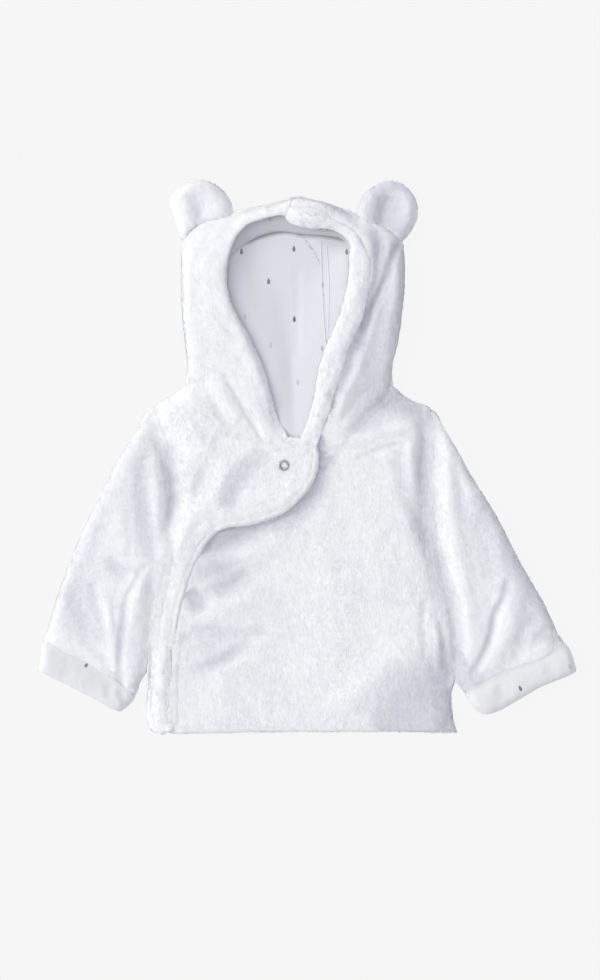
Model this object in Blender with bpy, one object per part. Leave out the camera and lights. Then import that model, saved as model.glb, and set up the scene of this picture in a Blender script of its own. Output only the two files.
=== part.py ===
"""A plush baby wrap jacket with a hood and two round ears, laid out on its back.

Every cut piece is a closed wall of cloth. Most walls start as a flat slab or a straight tube of
cells, and each point is then placed by a function of its share across (u), its share along (v)
and its depth in the wall. X runs to the jacket's left sleeve, Y to the crown and Z up from the
surface that it lies on. Right and left are the wearer's. Sizes are in millimetres until a piece
is placed.
"""
import math

import bmesh
import bpy
import numpy as np

for old in list(bpy.data.objects):
    bpy.data.objects.remove(old, do_unlink=True)
jacket = bpy.data.collections.new("hooded_baby_jacket")
bpy.context.scene.collection.children.link(jacket)

MM = 0.001

# Walls and gaps
FLEECE = 4.0            # knit with its pile
FLEECE_PRESSED = 2.4    # the same wall where a seam holds the pile down
LINING = 1.0
GAP = 0.3               # between pieces that are sewn together or lie on each other
INSIDE = 3.0            # room between the back and the fronts
ARMHOLE_GAP = 0.5       # the sleeve's curved edge lies a little further from the body's
PRESS_REACH = 13.0      # how far a seam draws the cloth down

# Heights of the top face above the surface
SLEEVE_HEIGHT = 12.0
CUFF_HEIGHT = 13.0
CUFF_WALL = 5.0
NECK_FOLD_HEIGHT = 12.4
HOOD_FOLD_HEIGHT = 14.5
CROWN_FOLD_HEIGHT = 13.0
RIM_HEIGHT_RIGHT = 17.5
RIM_HEIGHT_LEFT = 14.5
EAR_HEIGHT = 11.0
EAR_ROUNDING = 12.0

# The rolled edges
FACE_ROLL_HALF_WIDTH = 7.7
FACE_ROLL_CROWN_HALF_WIDTH = 3.8
FACE_ROLL_HEIGHT = 9.0
FLAP_ROLL_HALF_WIDTH = 3.4
FLAP_ROLL_HEIGHT = 5.2

# The ring snap
SNAP_PLACE = (-20.0, -7.5)
SNAP_OUTER_RADIUS = 4.6
SNAP_INNER_RADIUS = 2.4
SNAP_HEIGHT = 1.7

# Outlines seen from above, as points of x and y
SIDE_RIGHT = [(-132, -228), (-136, -215), (-134, -200), (-131, -175), (-128, -150), (-125, -125),
              (-121, -100), (-119, -77)]
ARMHOLE_RIGHT = [(-119, -77), (-116.5, -63), (-112.5, -45), (-111, -28), (-113, -10), (-119, 8),
                 (-124, 19), (-128, 28), (-131, 37)]
SHOULDER_RIGHT = [(-131, 37), (-127, 43), (-119, 48), (-109, 52), (-98, 57)]
NECK_FRONT_RIGHT = [(-98, 57), (-90, 45), (-78.5, 33.5), (-63, 23), (-47, 16), (-32, 11), (-16, 9),
                    (-7, 7.5), (1.2, 4.1)]
V_KNOT = 6              # the point of that neckline where the hood ends
FLAP_HEM = [(-132, -228), (-126, -231), (-112, -231.5)]
FLAP_EDGE = [(-112, -231.5), (-114, -205), (-113, -175), (-110, -146), (-105, -121), (-98, -98),
             (-89, -80), (-81, -67), (-71, -59), (-57, -58), (-42, -55), (-27, -51), (-15, -44),
             (-4, -33), (5, -20), (9, -8), (9.5, 0), (8, 6)]

SIDE_LEFT = [(126, -232), (122, -220), (121, -200), (120, -179), (117, -154), (114, -129),
             (110, -104), (106, -84)]
ARMHOLE_LEFT = [(106, -84), (103, -70), (100, -55), (98.5, -37), (98, -20), (98, -3), (99, 14),
                (101, 26), (103, 37)]
SHOULDER_LEFT = [(68, 57), (78, 52), (89, 47), (98, 42), (103, 37)]
NECK_FRONT_LEFT = [(8, 7), (19, 13), (32, 22), (44, 32), (57, 45), (68, 57)]
UNDERLAP_HEM = [(-116, -232), (-60, -231), (0, -230.5), (70, -230.5), (105, -231), (126, -232)]
UNDERLAP_EDGE = [(-116, -232), (-118.5, -205), (-117, -175), (-114, -146), (-109.5, -120),
                 (-104, -95), (-96, -74), (-86, -57), (-72, -42), (-58, -30), (-45, -18), (-32, -5)]
UNDERLAP_TOP = [(-32, -5), (-15, -1), (0, 3), (8, 7)]

BACK_HEM = [(-132, -228), (-124, -231), (-106, -231.8), (-60, -231), (0, -230.5), (70, -230.5), (105, -231),
            (126, -232)]
NECK_BACK_RIGHT = [(16, 46), (-15, 45), (-52, 47), (-78, 51), (-98, 57)]
NECK_BACK_LEFT = [(16, 46), (32, 48), (48, 51), (68, 57)]
BACK_LINING_SIDES = {"top": (-44, 40), "bottom": (-36, 34), "y": -8}

SLEEVE_OUTER_RIGHT = [(-131, 37), (-143, 22), (-154, 7), (-170, -24), (-187, -58), (-203, -97),
                      (-215, -131), (-220, -155)]
SLEEVE_INNER_RIGHT = [(-119, -77), (-123, -97), (-126.8, -119), (-130, -142), (-133.2, -163),
                      (-137, -181), (-141, -192), (-145, -200)]
CUFF_TOP_RIGHT = [(-220, -155), (-205, -163), (-190, -170), (-167, -184), (-157, -192), (-145, -200)]
CUFF_END_RIGHT = [(-226.5, -179), (-199, -193), (-170, -208), (-157, -215)]
CUFF_OUTER_RIGHT = [(-220, -155), (-224, -167), (-226.5, -179)]
CUFF_INNER_RIGHT = [(-145, -200), (-148, -208), (-157, -215)]

SLEEVE_OUTER_LEFT = [(103, 37), (120, 16), (136, -13), (158, -48), (178, -87), (200, -125),
                     (214, -157)]
SLEEVE_INNER_LEFT = [(106, -84), (111.6, -107), (116, -135), (119.4, -160), (122.4, -180),
                     (127, -190), (133, -198)]
CUFF_TOP_LEFT = [(214, -157), (207, -162), (186, -172), (171, -177), (158, -182), (133, -198)]
CUFF_END_LEFT = [(226.5, -180), (216, -185), (199, -191), (180, -202), (157, -214.5), (146, -217)]
CUFF_OUTER_LEFT = [(214, -157), (221, -162), (224, -170), (226.5, -180)]
CUFF_INNER_LEFT = [(133, -198), (136, -208), (146, -217)]

# Sections of the hood from the neck to the crown. Each runs from the centre seam, under the head,
# to the fold at the side of the hood, and back over to the rim of the face opening.
#                seam         fold          rim
HOOD_RIGHT = [((16, 46),    (-98, 57),    (-16, 9)),
              ((15, 68),    (-101, 80),   (-27, 40)),
              ((15, 92),    (-104, 106),  (-35, 72)),
              ((14, 115),   (-106, 131),  (-49, 102)),
              ((13, 136),   (-106, 156),  (-64, 129)),
              ((12, 153),   (-104, 181),  (-67, 152)),
              ((9, 164),    (-92, 194),   (-64, 169)),
              ((4, 173),    (-64, 202),   (-55, 183)),
              ((-2, 181),   (-46, 208),   (-42, 194)),
              ((-6, 188),   (-27, 213),   (-28, 200)),
              ((-6.5, 195), (-7, 216),    (-13, 203.5))]
HOOD_LEFT = [((16, 46),    (68, 57),     (8, 7)),
             ((15, 68),    (71, 76),     (18.5, 36)),
             ((15, 92),    (76, 95),     (23, 64)),
             ((14, 115),   (79, 115),    (31, 89)),
             ((13, 136),   (81, 136),    (42, 115)),
             ((12, 153),   (82, 160),    (48, 139)),
             ((9, 164),    (78, 181),    (49.5, 163)),
             ((4, 173),    (61, 193),    (45, 181)),
             ((-2, 181),   (43, 200),    (31, 194.5)),
             ((-6, 188),   (19, 211),    (9, 201)),
             ((-6.5, 195), (-7, 216),    (-11.2, 207.5))]
EAR_BASE_RIGHT = (5, 7)     # the hood sections between which an ear is sewn in
EAR_BASE_LEFT = (6, 8)
EAR_SIDE_RIGHT = [(-104, 181), (-108, 190), (-113, 203), (-117, 215)]
EAR_TOP_RIGHT = [(-117, 215), (-111, 223), (-100, 230), (-87, 232), (-75, 227), (-67, 219)]
EAR_END_RIGHT = [(-64, 202), (-64, 209), (-67, 219)]
EAR_SIDE_LEFT = [(78, 181), (86, 188), (91.5, 197), (93, 208)]
EAR_TOP_LEFT = [(93, 208), (89, 220), (81, 228), (69, 232), (58, 228), (48, 221)]
EAR_END_LEFT = [(43, 200), (43, 211), (48, 221)]

# Folds: a start, a middle and an end (x, y), then the half width and the height
FLAP_FOLDS = [((-92, 18), (-76, -2), (-57, -17), 12, 2.0),
              ((-16, -22), (-42, -38), (-72, -46), 10, 1.5),
              ((-97, -14), (-104, -55), (-106, -110), 9, 1.6)]
UNDERLAP_FOLDS = [((112, -110), (108, -150), (111, -206), 10, 2.2),
                  ((82, 26), (84, -6), (90, -46), 12, 2.4),
                  ((102, 32), (73, 18), (27, -2), 9, 2.0),
                  ((-86, -134), (-62, -126), (-36, -116), 13, 1.8),
                  ((84, -146), (60, -180), (24, -208), 17, 2.2),
                  ((16, -70), (24, -120), (18, -200), 24, 1.6),
                  ((-70, -214), (-66, -180), (-40, -150), 15, 1.6)]
SLEEVE_RIGHT_FOLDS = [((-134, -2), (-122, -40), (-124, -92), 7, 2.6),
                      ((-133, -92), (-150, -126), (-154, -184), 8, 3.0),
                      ((-170, -118), (-166, -140), (-160, -168), 7, 1.8),
                      ((-152, -8), (-158, -40), (-150, -78), 11, 1.6),
                      ((-196, -96), (-204, -126), (-206, -150), 10, 1.4)]
SLEEVE_LEFT_FOLDS = [((108, 8), (126, -76), (139, -172), 11, 3.0),
                     ((178, -106), (165, -144), (147, -185), 8, 3.0),
                     ((198, -134), (194, -150), (187, -166), 7, 2.0),
                     ((136, -30), (152, -64), (166, -98), 11, 1.6)]
HOOD_RIGHT_FOLDS = [((-78, 68), (-70, 48), (-58, 30), 8, 2.2),
                    ((-94, 76), (-88, 60), (-80, 44), 7, 1.8),
                    ((-84, 176), (-80, 140), (-72, 96), 11, 2.0),
                    ((-50, 60), (-44, 40), (-36, 20), 8, 1.8)]
HOOD_LEFT_FOLDS = [((70, 178), (58, 140), (38, 84), 8, 2.6),
                   ((76, 166), (74, 120), (56, 74), 8, 2.2),
                   ((58, 52), (44, 38), (28, 25), 8, 2.0)]
EAR_RIGHT_CREASE = [((-100, 217), (-90, 206), (-85, 190), 6, -3.0)]
EAR_LEFT_CREASE = [((70, 222), (65, 206), (63, 192), 6, -3.0),
                   ((82, 218), (82, 208), (77, 196), 7, 1.5)]
NO_FOLDS = []


# ---------------------------------------------------------------- curves and surfaces in the plan

def smoothstep(x):
    x = min(max(x, 0.0), 1.0)
    return x * x * (3.0 - 2.0 * x)


def lerp(a, b, t):
    return a + (b - a) * t


def smooth_curve(points):
    """A smooth curve through the points, as a function of the share of its length."""
    knots = np.array(points, dtype=float)
    steps = np.linalg.norm(np.diff(knots, axis=0), axis=1)
    share = np.concatenate([[0.0], np.cumsum(steps)]) / steps.sum()
    slopes = np.gradient(knots, share, axis=0)

    def at(t):
        i = int(np.clip(np.searchsorted(share, t, side="right") - 1, 0, len(share) - 2))
        span = share[i + 1] - share[i]
        s = (t - share[i]) / span
        start = (1 + 2 * s) * (1 - s) ** 2 * knots[i] + s * (1 - s) ** 2 * span * slopes[i]
        end = s * s * (3 - 2 * s) * knots[i + 1] + s * s * (s - 1) * span * slopes[i + 1]
        return start + end
    return at


def chain(*parts):
    """Curves end to end. Each part is a curve and its share of the whole."""
    def at(t):
        start = 0.0
        for curve, share in parts[:-1]:
            if t < start + share:
                return curve((t - start) / share)
            start += share
        curve, share = parts[-1]
        return curve((t - start) / share)
    return at


def backwards(curve):
    return lambda t: curve(1.0 - t)


def stretch_of(curve, first, last):
    return lambda t: curve(lerp(first, last, t))


def straight(start, end):
    return lambda t: lerp(np.array(start, dtype=float), np.array(end, dtype=float), t)


def patch(bottom, top, left, right, hold=1):
    """The sheet spanned by four curves that meet at their ends. With hold 1 it is a Coons patch,
    and with more the bows of the bottom and top reach less far in."""
    def bow(curve, u):
        return curve(u) - lerp(curve(0.0), curve(1.0), u)

    def at(u, v):
        across = lerp(left(v), right(v), u)
        return across + bow(bottom, u) * (1.0 - v) ** hold + bow(top, u) * v ** hold
    return at


def square_to(direction, line):
    """The unit vector square to a line, on the side that a direction points to."""
    line = line / np.linalg.norm(line)
    rest = direction - line * float(direction @ line)
    return rest / np.linalg.norm(rest)


def inset(sheet, u, v, du, dv):
    """The sheet's point, moved in from its nearest sides by du and dv, as a gap at its seams."""
    here = sheet(u, v)
    if du == 0.0 and dv == 0.0:
        return here
    step = 0.02
    across = sheet(u + (step if u < 0.5 else -step), v) - here
    along = sheet(u, v + (step if v < 0.5 else -step)) - here
    return here + du * square_to(across, along) + dv * square_to(along, across)


def set_in(curve, distance):
    """A curve moved to its left by a distance."""
    def at(t):
        ahead = curve(min(t + 0.01, 1.0)) - curve(max(t - 0.01, 0.0))
        left = np.array([-ahead[1], ahead[0]]) / np.linalg.norm(ahead)
        return curve(t) + left * distance
    return at


def knot_share(points, index):
    """The share of a curve's length at one of its points."""
    steps = np.linalg.norm(np.diff(np.array(points, dtype=float), axis=0), axis=1)
    return float(steps[:index].sum() / steps.sum())


def samples(*curves):
    return np.array([curve(t) for curve in curves for t in np.linspace(0.0, 1.0, 60)])


def distance_to(line, x, y):
    return float(np.hypot(line[:, 0] - x, line[:, 1] - y).min())


def pressed(line, x, y):
    """1 on a seam, falling to 0 where the cloth has its full height."""
    return 1.0 - smoothstep(distance_to(line, x, y) / PRESS_REACH)


def fold_line(start, middle, end):
    start, middle, end = (np.array(point, dtype=float) for point in (start, middle, end))
    control = 2.0 * middle - (start + end) / 2.0
    t = np.linspace(0.0, 1.0, 41)[:, None]
    return (1 - t) ** 2 * start + 2 * t * (1 - t) * control + t ** 2 * end


def fold_height(folds, x, y):
    """The height that soft ridges add: highest along their middle, running out at both ends."""
    total = 0.0
    for start, middle, end, half_width, height in folds:
        line = fold_line(start, middle, end)
        if abs(line[:, 0].mean() - x) > 90.0 or abs(line[:, 1].mean() - y) > 90.0:
            continue
        distances = np.hypot(line[:, 0] - x, line[:, 1] - y)
        nearest = int(distances.argmin())
        run_out = math.sin(math.pi * (nearest + 0.5) / len(line)) ** 0.7
        total += height * run_out * (1.0 - smoothstep(distances[nearest] / half_width))
    return total


# ---------------------------------------------------------------- pieces as closed walls

def slab(columns, rows):
    """A flat slab of cells: u and v in x and y, and z 0 on the outer skin and 1 on the inner."""
    mesh = bmesh.new()
    bmesh.ops.create_grid(mesh, x_segments=columns, y_segments=rows, size=0.5)
    bmesh.ops.translate(mesh, verts=mesh.verts, vec=(0.5, 0.5, 0.0))
    skin = bmesh.ops.extrude_face_region(mesh, geom=mesh.faces[:], use_keep_orig=True)
    inner = [item for item in skin["geom"] if isinstance(item, bmesh.types.BMVert)]
    bmesh.ops.translate(mesh, verts=inner, vec=(0.0, 0.0, 1.0))
    return mesh


def tube(around, along):
    """A straight tube of cells: radius 1 on the outer skin and 0.5 on the inner, v in z."""
    mesh = bmesh.new()
    bmesh.ops.create_cone(mesh, cap_ends=False, segments=around, radius1=1.0, radius2=1.0, depth=1.0)
    bmesh.ops.translate(mesh, verts=mesh.verts, vec=(0.0, 0.0, 0.5))
    staves = [edge for edge in mesh.edges if abs(edge.verts[0].co.z - edge.verts[1].co.z) > 0.5]
    bmesh.ops.subdivide_edges(mesh, edges=staves, cuts=along - 1, use_grid_fill=True)
    skin = bmesh.ops.extrude_face_region(mesh, geom=mesh.faces[:], use_keep_orig=True)
    inner = [item for item in skin["geom"] if isinstance(item, bmesh.types.BMVert)]
    bmesh.ops.scale(mesh, verts=inner, vec=(0.5, 0.5, 1.0))
    return mesh


def rod(around, along):
    """A straight solid rod of cells: its angle in x and y, v in z."""
    mesh = bmesh.new()
    bmesh.ops.create_cone(mesh, cap_ends=True, segments=around, radius1=1.0, radius2=1.0, depth=1.0)
    bmesh.ops.translate(mesh, verts=mesh.verts, vec=(0.0, 0.0, 0.5))
    staves = [edge for edge in mesh.edges if abs(edge.verts[0].co.z - edge.verts[1].co.z) > 0.5]
    bmesh.ops.subdivide_edges(mesh, edges=staves, cuts=along - 1, use_grid_fill=True)
    return mesh


def turn_share(point, around):
    """Which stave of a tube or rod a point is on."""
    turn = math.atan2(point.y, point.x) / (2.0 * math.pi)
    return round((turn % 1.0) * around) % around


def add_piece(name, mesh, place, material):
    """Places every point of a slab, tube or rod and adds the piece to the jacket."""
    for vert in mesh.verts:
        vert.co = [value * MM for value in place(vert.co.copy())]
    mesh.normal_update()
    bmesh.ops.recalc_face_normals(mesh, faces=mesh.faces)
    data = bpy.data.meshes.new(name)
    mesh.to_mesh(data)
    mesh.free()
    data.shade_smooth()
    data.set_sharp_from_angle(angle=math.radians(50))
    data.materials.append(material)
    piece = bpy.data.objects.new(name, data)
    jacket.objects.link(piece)
    return piece


def make_material(name, colour, roughness, metallic=0.0):
    material = bpy.data.materials.new(name)
    material.use_nodes = True
    shader = material.node_tree.nodes["Principled BSDF"]
    shader.inputs["Base Color"].default_value = (*colour, 1.0)
    shader.inputs["Roughness"].default_value = roughness
    shader.inputs["Metallic"].default_value = metallic
    material.diffuse_color = (*colour, 1.0)
    return material


FLEECE_COLOUR = (0.88, 0.88, 0.87)
LINING_COLOUR = (0.90, 0.90, 0.92)
METAL_COLOUR = (0.70, 0.70, 0.72)


def fleece(name):
    return make_material(f"fleece_{name}", FLEECE_COLOUR, 0.95)


def jersey(name):
    return make_material(f"jersey_{name}", LINING_COLOUR, 0.85)


# ---------------------------------------------------------------- the shared seams and heights

side_right = smooth_curve(SIDE_RIGHT)
armhole_right = smooth_curve(ARMHOLE_RIGHT)
shoulder_right = smooth_curve(SHOULDER_RIGHT)
neck_front_right = smooth_curve(NECK_FRONT_RIGHT)
flap_edge = smooth_curve(FLAP_EDGE)
side_left = smooth_curve(SIDE_LEFT)
armhole_left = smooth_curve(ARMHOLE_LEFT)
shoulder_left = smooth_curve(SHOULDER_LEFT)
neck_front_left = smooth_curve(NECK_FRONT_LEFT)
neck_back_right = smooth_curve(NECK_BACK_RIGHT)
neck_back_left = smooth_curve(NECK_BACK_LEFT)
underlap_edge = smooth_curve(UNDERLAP_EDGE)

BODY_ROWS = 22
SIDE_SHARE = 12 / 22            # the rows below the underarm
FLAP_ROWS = 26
FLAP_SIDE_SHARE = 14 / 26

body_seams = samples(side_right, armhole_right, shoulder_right, side_left, armhole_left,
                     shoulder_left)
underlap_line = samples(underlap_edge)

FRONT_UNDER = FLEECE + INSIDE
FLAP_LIFT = FLEECE + GAP        # the flap lies on the underlap
FLAP_SLOPE = 14.0               # how far outside the underlap the flap comes down again
SEAM_UNDER = FLEECE_PRESSED + GAP


def body_wall(x, y):
    return lerp(FLEECE, FLEECE_PRESSED, pressed(body_seams, x, y))


def underlap_under(x, y):
    """Height of the underlap's lower face. The folds lift the whole wall."""
    level = lerp(FRONT_UNDER, SEAM_UNDER, pressed(body_seams, x, y))
    return level + fold_height(UNDERLAP_FOLDS, x, y)


def outside_underlap(x, y):
    """Distance outside the underlap's hidden edge, or 0 over the underlap."""
    distances = np.hypot(underlap_line[:, 0] - x, underlap_line[:, 1] - y)
    i = int(np.clip(distances.argmin(), 1, len(underlap_line) - 2))
    along = underlap_line[i + 1] - underlap_line[i - 1]
    away = np.array([x, y]) - underlap_line[i]
    left_of_edge = along[0] * away[1] - along[1] * away[0] > 0.0
    return float(distances.min()) if left_of_edge else 0.0


def flap_under(x, y):
    level = lerp(FRONT_UNDER, SEAM_UNDER, pressed(body_seams, x, y))
    clear = lerp(1.5, 9.0, smoothstep((y + 95.0) / 50.0))
    lift = FLAP_LIFT * (1.0 - smoothstep((outside_underlap(x, y) - clear) / FLAP_SLOPE))
    return level + lift + fold_height(FLAP_FOLDS, x, y)


# ---------------------------------------------------------------- back and fronts

def panel(sheet, under, wall, gap):
    """A place function for a slab that lies as a sheet, with its lower face at a given height."""
    def place(point):
        u, v = point.x, point.y
        x, y = inset(sheet, u, v, 0.0, gap if v > 0.999 else 0.0)
        low = under(x, y)
        return x, y, low + (wall(x, y) if point.z < 0.5 else 0.0)
    return place


def make_back():
    shoulder_columns, neck_columns = 3, 9
    columns = 2 * shoulder_columns + neck_columns
    seam_share = 6 / neck_columns
    neck = chain((backwards(neck_back_right), seam_share), (neck_back_left, 1.0 - seam_share))
    top = chain((shoulder_right, shoulder_columns / columns), (neck, neck_columns / columns),
                (shoulder_left, shoulder_columns / columns))
    left = chain((side_right, SIDE_SHARE), (armhole_right, 1.0 - SIDE_SHARE))
    right = chain((side_left, SIDE_SHARE), (armhole_left, 1.0 - SIDE_SHARE))
    sheet = patch(smooth_curve(BACK_HEM), top, left, right)
    place = panel(sheet, lambda x, y: 0.0, body_wall, GAP / 2)
    add_piece("back", slab(columns, BODY_ROWS), place, fleece("back"))


def make_front_left():
    hidden_columns, neck_columns, shoulder_columns = 3, 9, 4
    columns = hidden_columns + neck_columns + shoulder_columns
    top = chain((smooth_curve(UNDERLAP_TOP), hidden_columns / columns),
                (neck_front_left, neck_columns / columns),
                (shoulder_left, shoulder_columns / columns))
    right = chain((side_left, SIDE_SHARE), (armhole_left, 1.0 - SIDE_SHARE))
    sheet = patch(smooth_curve(UNDERLAP_HEM), top, underlap_edge, right)
    place = panel(sheet, underlap_under, body_wall, GAP / 2)
    add_piece("front_left", slab(columns, BODY_ROWS), place, fleece("front_left"))


def make_front_right():
    """The overlapping front, which ends in the roll along its free edge."""
    shoulder_columns, neck_columns = 3, 11
    columns = shoulder_columns + neck_columns
    free_edge = set_in(flap_edge, 2.0 * FLAP_ROLL_HALF_WIDTH + GAP)
    hem = smooth_curve(FLAP_HEM[:2] + [free_edge(0.0)])
    top = chain((shoulder_right, shoulder_columns / columns),
                (neck_front_right, neck_columns / columns))
    side = chain((side_right, FLAP_SIDE_SHARE), (armhole_right, 1.0 - FLAP_SIDE_SHARE))
    sheet = patch(hem, top, side, free_edge, hold=3)
    place = panel(sheet, flap_under, body_wall, GAP / 2)
    add_piece("front_right", slab(columns, FLAP_ROWS), place, fleece("front_right"))


def make_front_facing():
    """The lining turned out along the free edge of the overlapping front, as a soft roll."""
    around = 8
    middle = set_in(flap_edge, FLAP_ROLL_HALF_WIDTH)

    def place(point):
        v = point.z
        angle = 2.0 * math.pi * turn_share(point, around) / around
        across = FLAP_ROLL_HALF_WIDTH * (1.0 + math.cos(angle))
        x, y = set_in(flap_edge, across)(v)
        low = flap_under(*middle(v))
        return x, y, low + FLAP_ROLL_HEIGHT * (1.0 + math.sin(angle)) / 2.0
    add_piece("front_facing", rod(around, FLAP_ROWS), place, jersey("front_facing"))


def make_back_lining():
    """Jersey inside the back, which shows in the V of the neck."""
    top_x, bottom_x, low_y = (BACK_LINING_SIDES[key] for key in ("top", "bottom", "y"))
    top = stretch_of(chain((backwards(neck_back_right), 6 / 9), (neck_back_left, 3 / 9)), 0.32, 0.78)
    start, end = top(0.0), top(1.0)
    bottom = straight((bottom_x[0], low_y), (bottom_x[1], low_y))
    sheet = patch(bottom, top, straight(bottom(0.0), start), straight(bottom(1.0), end))
    place = panel(sheet, lambda x, y: FLEECE + GAP, lambda x, y: LINING, GAP / 2)
    add_piece("back_lining", slab(8, 5), place, jersey("back_lining"))


# ---------------------------------------------------------------- sleeves and cuffs

UNDER_CELLS = 8
ARC_CELLS = 4
OVER_CELLS = 8
RING_CELLS = UNDER_CELLS + OVER_CELLS + 2 * ARC_CELLS


def ring_point(station, width, height, wall, inner):
    """A point of a flattened tube's section: its distance from the first edge, its height, and
    whether it is on the upper run between the rounded ends."""
    radius = height / 2.0
    skin = radius - wall if inner else radius
    if station < UNDER_CELLS:
        return lerp(radius, width - radius, station / UNDER_CELLS), radius - skin, False
    station -= UNDER_CELLS
    if station < ARC_CELLS:
        angle = lerp(-math.pi / 2, math.pi / 2, station / ARC_CELLS)
        return width - radius + skin * math.cos(angle), radius + skin * math.sin(angle), False
    station -= ARC_CELLS
    if station < OVER_CELLS:
        return lerp(width - radius, radius, station / OVER_CELLS), radius + skin, True
    station -= OVER_CELLS
    angle = lerp(math.pi / 2, 3 * math.pi / 2, station / ARC_CELLS)
    return radius + skin * math.cos(angle), radius + skin * math.sin(angle), False


def flattened_tube(sheet, height_at, wall_at, folds, gap):
    """A place function for a tube pressed flat. u crosses it from its outer to its inner edge."""
    def place(point):
        v = point.z
        inner = math.hypot(point.x, point.y) < 0.75
        station = turn_share(point, RING_CELLS)
        width = float(np.linalg.norm(sheet(1.0, v) - sheet(0.0, v)))
        height = height_at(v)
        across, z, on_top = ring_point(station, width, height, wall_at(v), inner)
        shift = gap if v < 0.001 else 0.0
        x, y = inset(sheet, across / width, v, 0.0, shift)
        if on_top:
            ends = smoothstep((across - height / 2) / 8.0) * smoothstep((width - height / 2 - across) / 8.0)
            seated = smoothstep(v / 0.12) * smoothstep((1.0 - v) / 0.06)
            z += fold_height(folds, x, y) * ends * seated
        return x, y, z
    return place


def make_sleeve(name, armhole, outer, inner, cuff_top, folds, rows=14):
    """A sleeve from its armhole, where the seam presses it flat, to the top of its cuff."""
    sheet = patch(backwards(armhole), smooth_curve(cuff_top), smooth_curve(outer), smooth_curve(inner),
                  hold=4)
    seam_height = SEAM_UNDER + FLEECE_PRESSED
    rise = 0.14
    place = flattened_tube(sheet,
                           lambda v: lerp(seam_height, SLEEVE_HEIGHT, smoothstep(v / rise)),
                           lambda v: lerp(FLEECE_PRESSED, FLEECE, smoothstep(v / rise)),
                           folds, ARMHOLE_GAP)
    add_piece(name, tube(RING_CELLS, rows), place, fleece(name))


def make_cuff(name, top, end, outer, inner):
    """The sleeve's end turned back on itself, so the lining is outside and the wall is double."""
    sheet = patch(smooth_curve(top), smooth_curve(end), smooth_curve(outer), smooth_curve(inner))
    place = flattened_tube(sheet, lambda v: CUFF_HEIGHT - 1.5 * abs(2.0 * v - 1.0) ** 3,
                           lambda v: CUFF_WALL, NO_FOLDS, GAP)
    add_piece(name, tube(RING_CELLS, 4), place, jersey(name))


# ---------------------------------------------------------------- hood

HOOD_ROWS = 20
UNDER_STEPS = 6
TURN_STEPS = 6
OVER_STEPS = 8
HOOD_STEPS = UNDER_STEPS + TURN_STEPS + OVER_STEPS
LINING_TURN_STEPS = 3
NECK_RISE = 0.12        # the share of the hood's length over which it rises from the neck seam


class HoodHalf:
    """Half of the hood: its sections, from the centre seam round the side fold to the rim."""

    def __init__(self, sections, neck_back, neck_front, neck_under, rim_height, folds):
        seam, fold, rim = (smooth_rows([row[i] for row in sections]) for i in range(3))
        self.fold = fold
        self.rim = rim
        self.under_sheet = patch(neck_back, straight(seam(1.0), fold(1.0)), seam, fold)
        self.over_sheet = patch(neck_front, straight(fold(1.0), rim(1.0)), fold, rim)
        self.neck_under = neck_under
        self.rim_height = rim_height
        self.folds = folds

    def fold_height_at(self, v):
        risen = lerp(NECK_FOLD_HEIGHT, HOOD_FOLD_HEIGHT, smoothstep(v / NECK_RISE))
        return lerp(risen, CROWN_FOLD_HEIGHT, smoothstep((v - 0.75) / 0.25))

    def top_at(self, b, v, x, y):
        """Height of the upper face at a share b from the fold to the rim."""
        fold = self.fold_height_at(v)
        risen = smoothstep(v / NECK_RISE)
        seated = lerp(fold, self.neck_under(x, y) + FLEECE, smoothstep(b / 0.25))
        full = lerp(fold, self.rim_height, smoothstep(b))
        settled = smoothstep(b / 0.2) * (1.0 - smoothstep((v - 0.8) / 0.15))
        return lerp(seated, full, risen) + risen * settled * fold_height(self.folds, x, y)

    def place(self, station, v, depth):
        """A point at a depth under the hood's outer face, at one of the stations of a section."""
        under_width = float(np.linalg.norm(self.under_sheet(1.0, v) - self.under_sheet(0.0, v)))
        over_width = float(np.linalg.norm(self.over_sheet(1.0, v) - self.over_sheet(0.0, v)))
        radius = self.fold_height_at(v) / 2.0
        at_end = GAP / 2 if v < 0.001 or v > 0.999 else 0.0
        if station <= UNDER_STEPS:
            a = (1.0 - radius / under_width) * station / UNDER_STEPS
            x, y = inset(self.under_sheet, a, v, GAP / 2 if station == 0 else 0.0, at_end)
            return x, y, depth
        if station < UNDER_STEPS + TURN_STEPS:
            angle = lerp(-math.pi / 2, math.pi / 2, (station - UNDER_STEPS) / TURN_STEPS)
            inward = radius - (radius - depth) * math.cos(angle)
            low = inset(self.under_sheet, 1.0 - inward / under_width, v, 0.0, at_end)
            high = inset(self.over_sheet, inward / over_width, v, 0.0, at_end)
            x, y = lerp(low, high, smoothstep((math.sin(angle) + 0.6) / 1.6))
            return x, y, radius + (radius - depth) * math.sin(angle)
        first = radius / over_width
        b = lerp(first, 1.0, (station - UNDER_STEPS - TURN_STEPS) / OVER_STEPS)
        x, y = inset(self.over_sheet, b, v, 0.0, at_end)
        return x, y, self.top_at(b, v, x, y) - depth


def smooth_rows(points):
    """A smooth curve through the points of a column of sections, evenly spaced."""
    knots = np.array(points, dtype=float)
    slopes = np.gradient(knots, axis=0)
    spans = len(knots) - 1

    def at(t):
        i = int(np.clip(math.floor(t * spans), 0, spans - 1))
        s = t * spans - i
        start = (1 + 2 * s) * (1 - s) ** 2 * knots[i] + s * (1 - s) ** 2 * slopes[i]
        end = s * s * (3 - 2 * s) * knots[i + 1] + s * s * (s - 1) * slopes[i + 1]
        return start + end
    return at


def make_hood_half(name, half):
    def place(point):
        station = round(point.x * HOOD_STEPS)
        return half.place(station, point.y, 0.0 if point.z < 0.5 else FLEECE)
    add_piece(name, slab(HOOD_STEPS, HOOD_ROWS), place, fleece(name))


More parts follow.
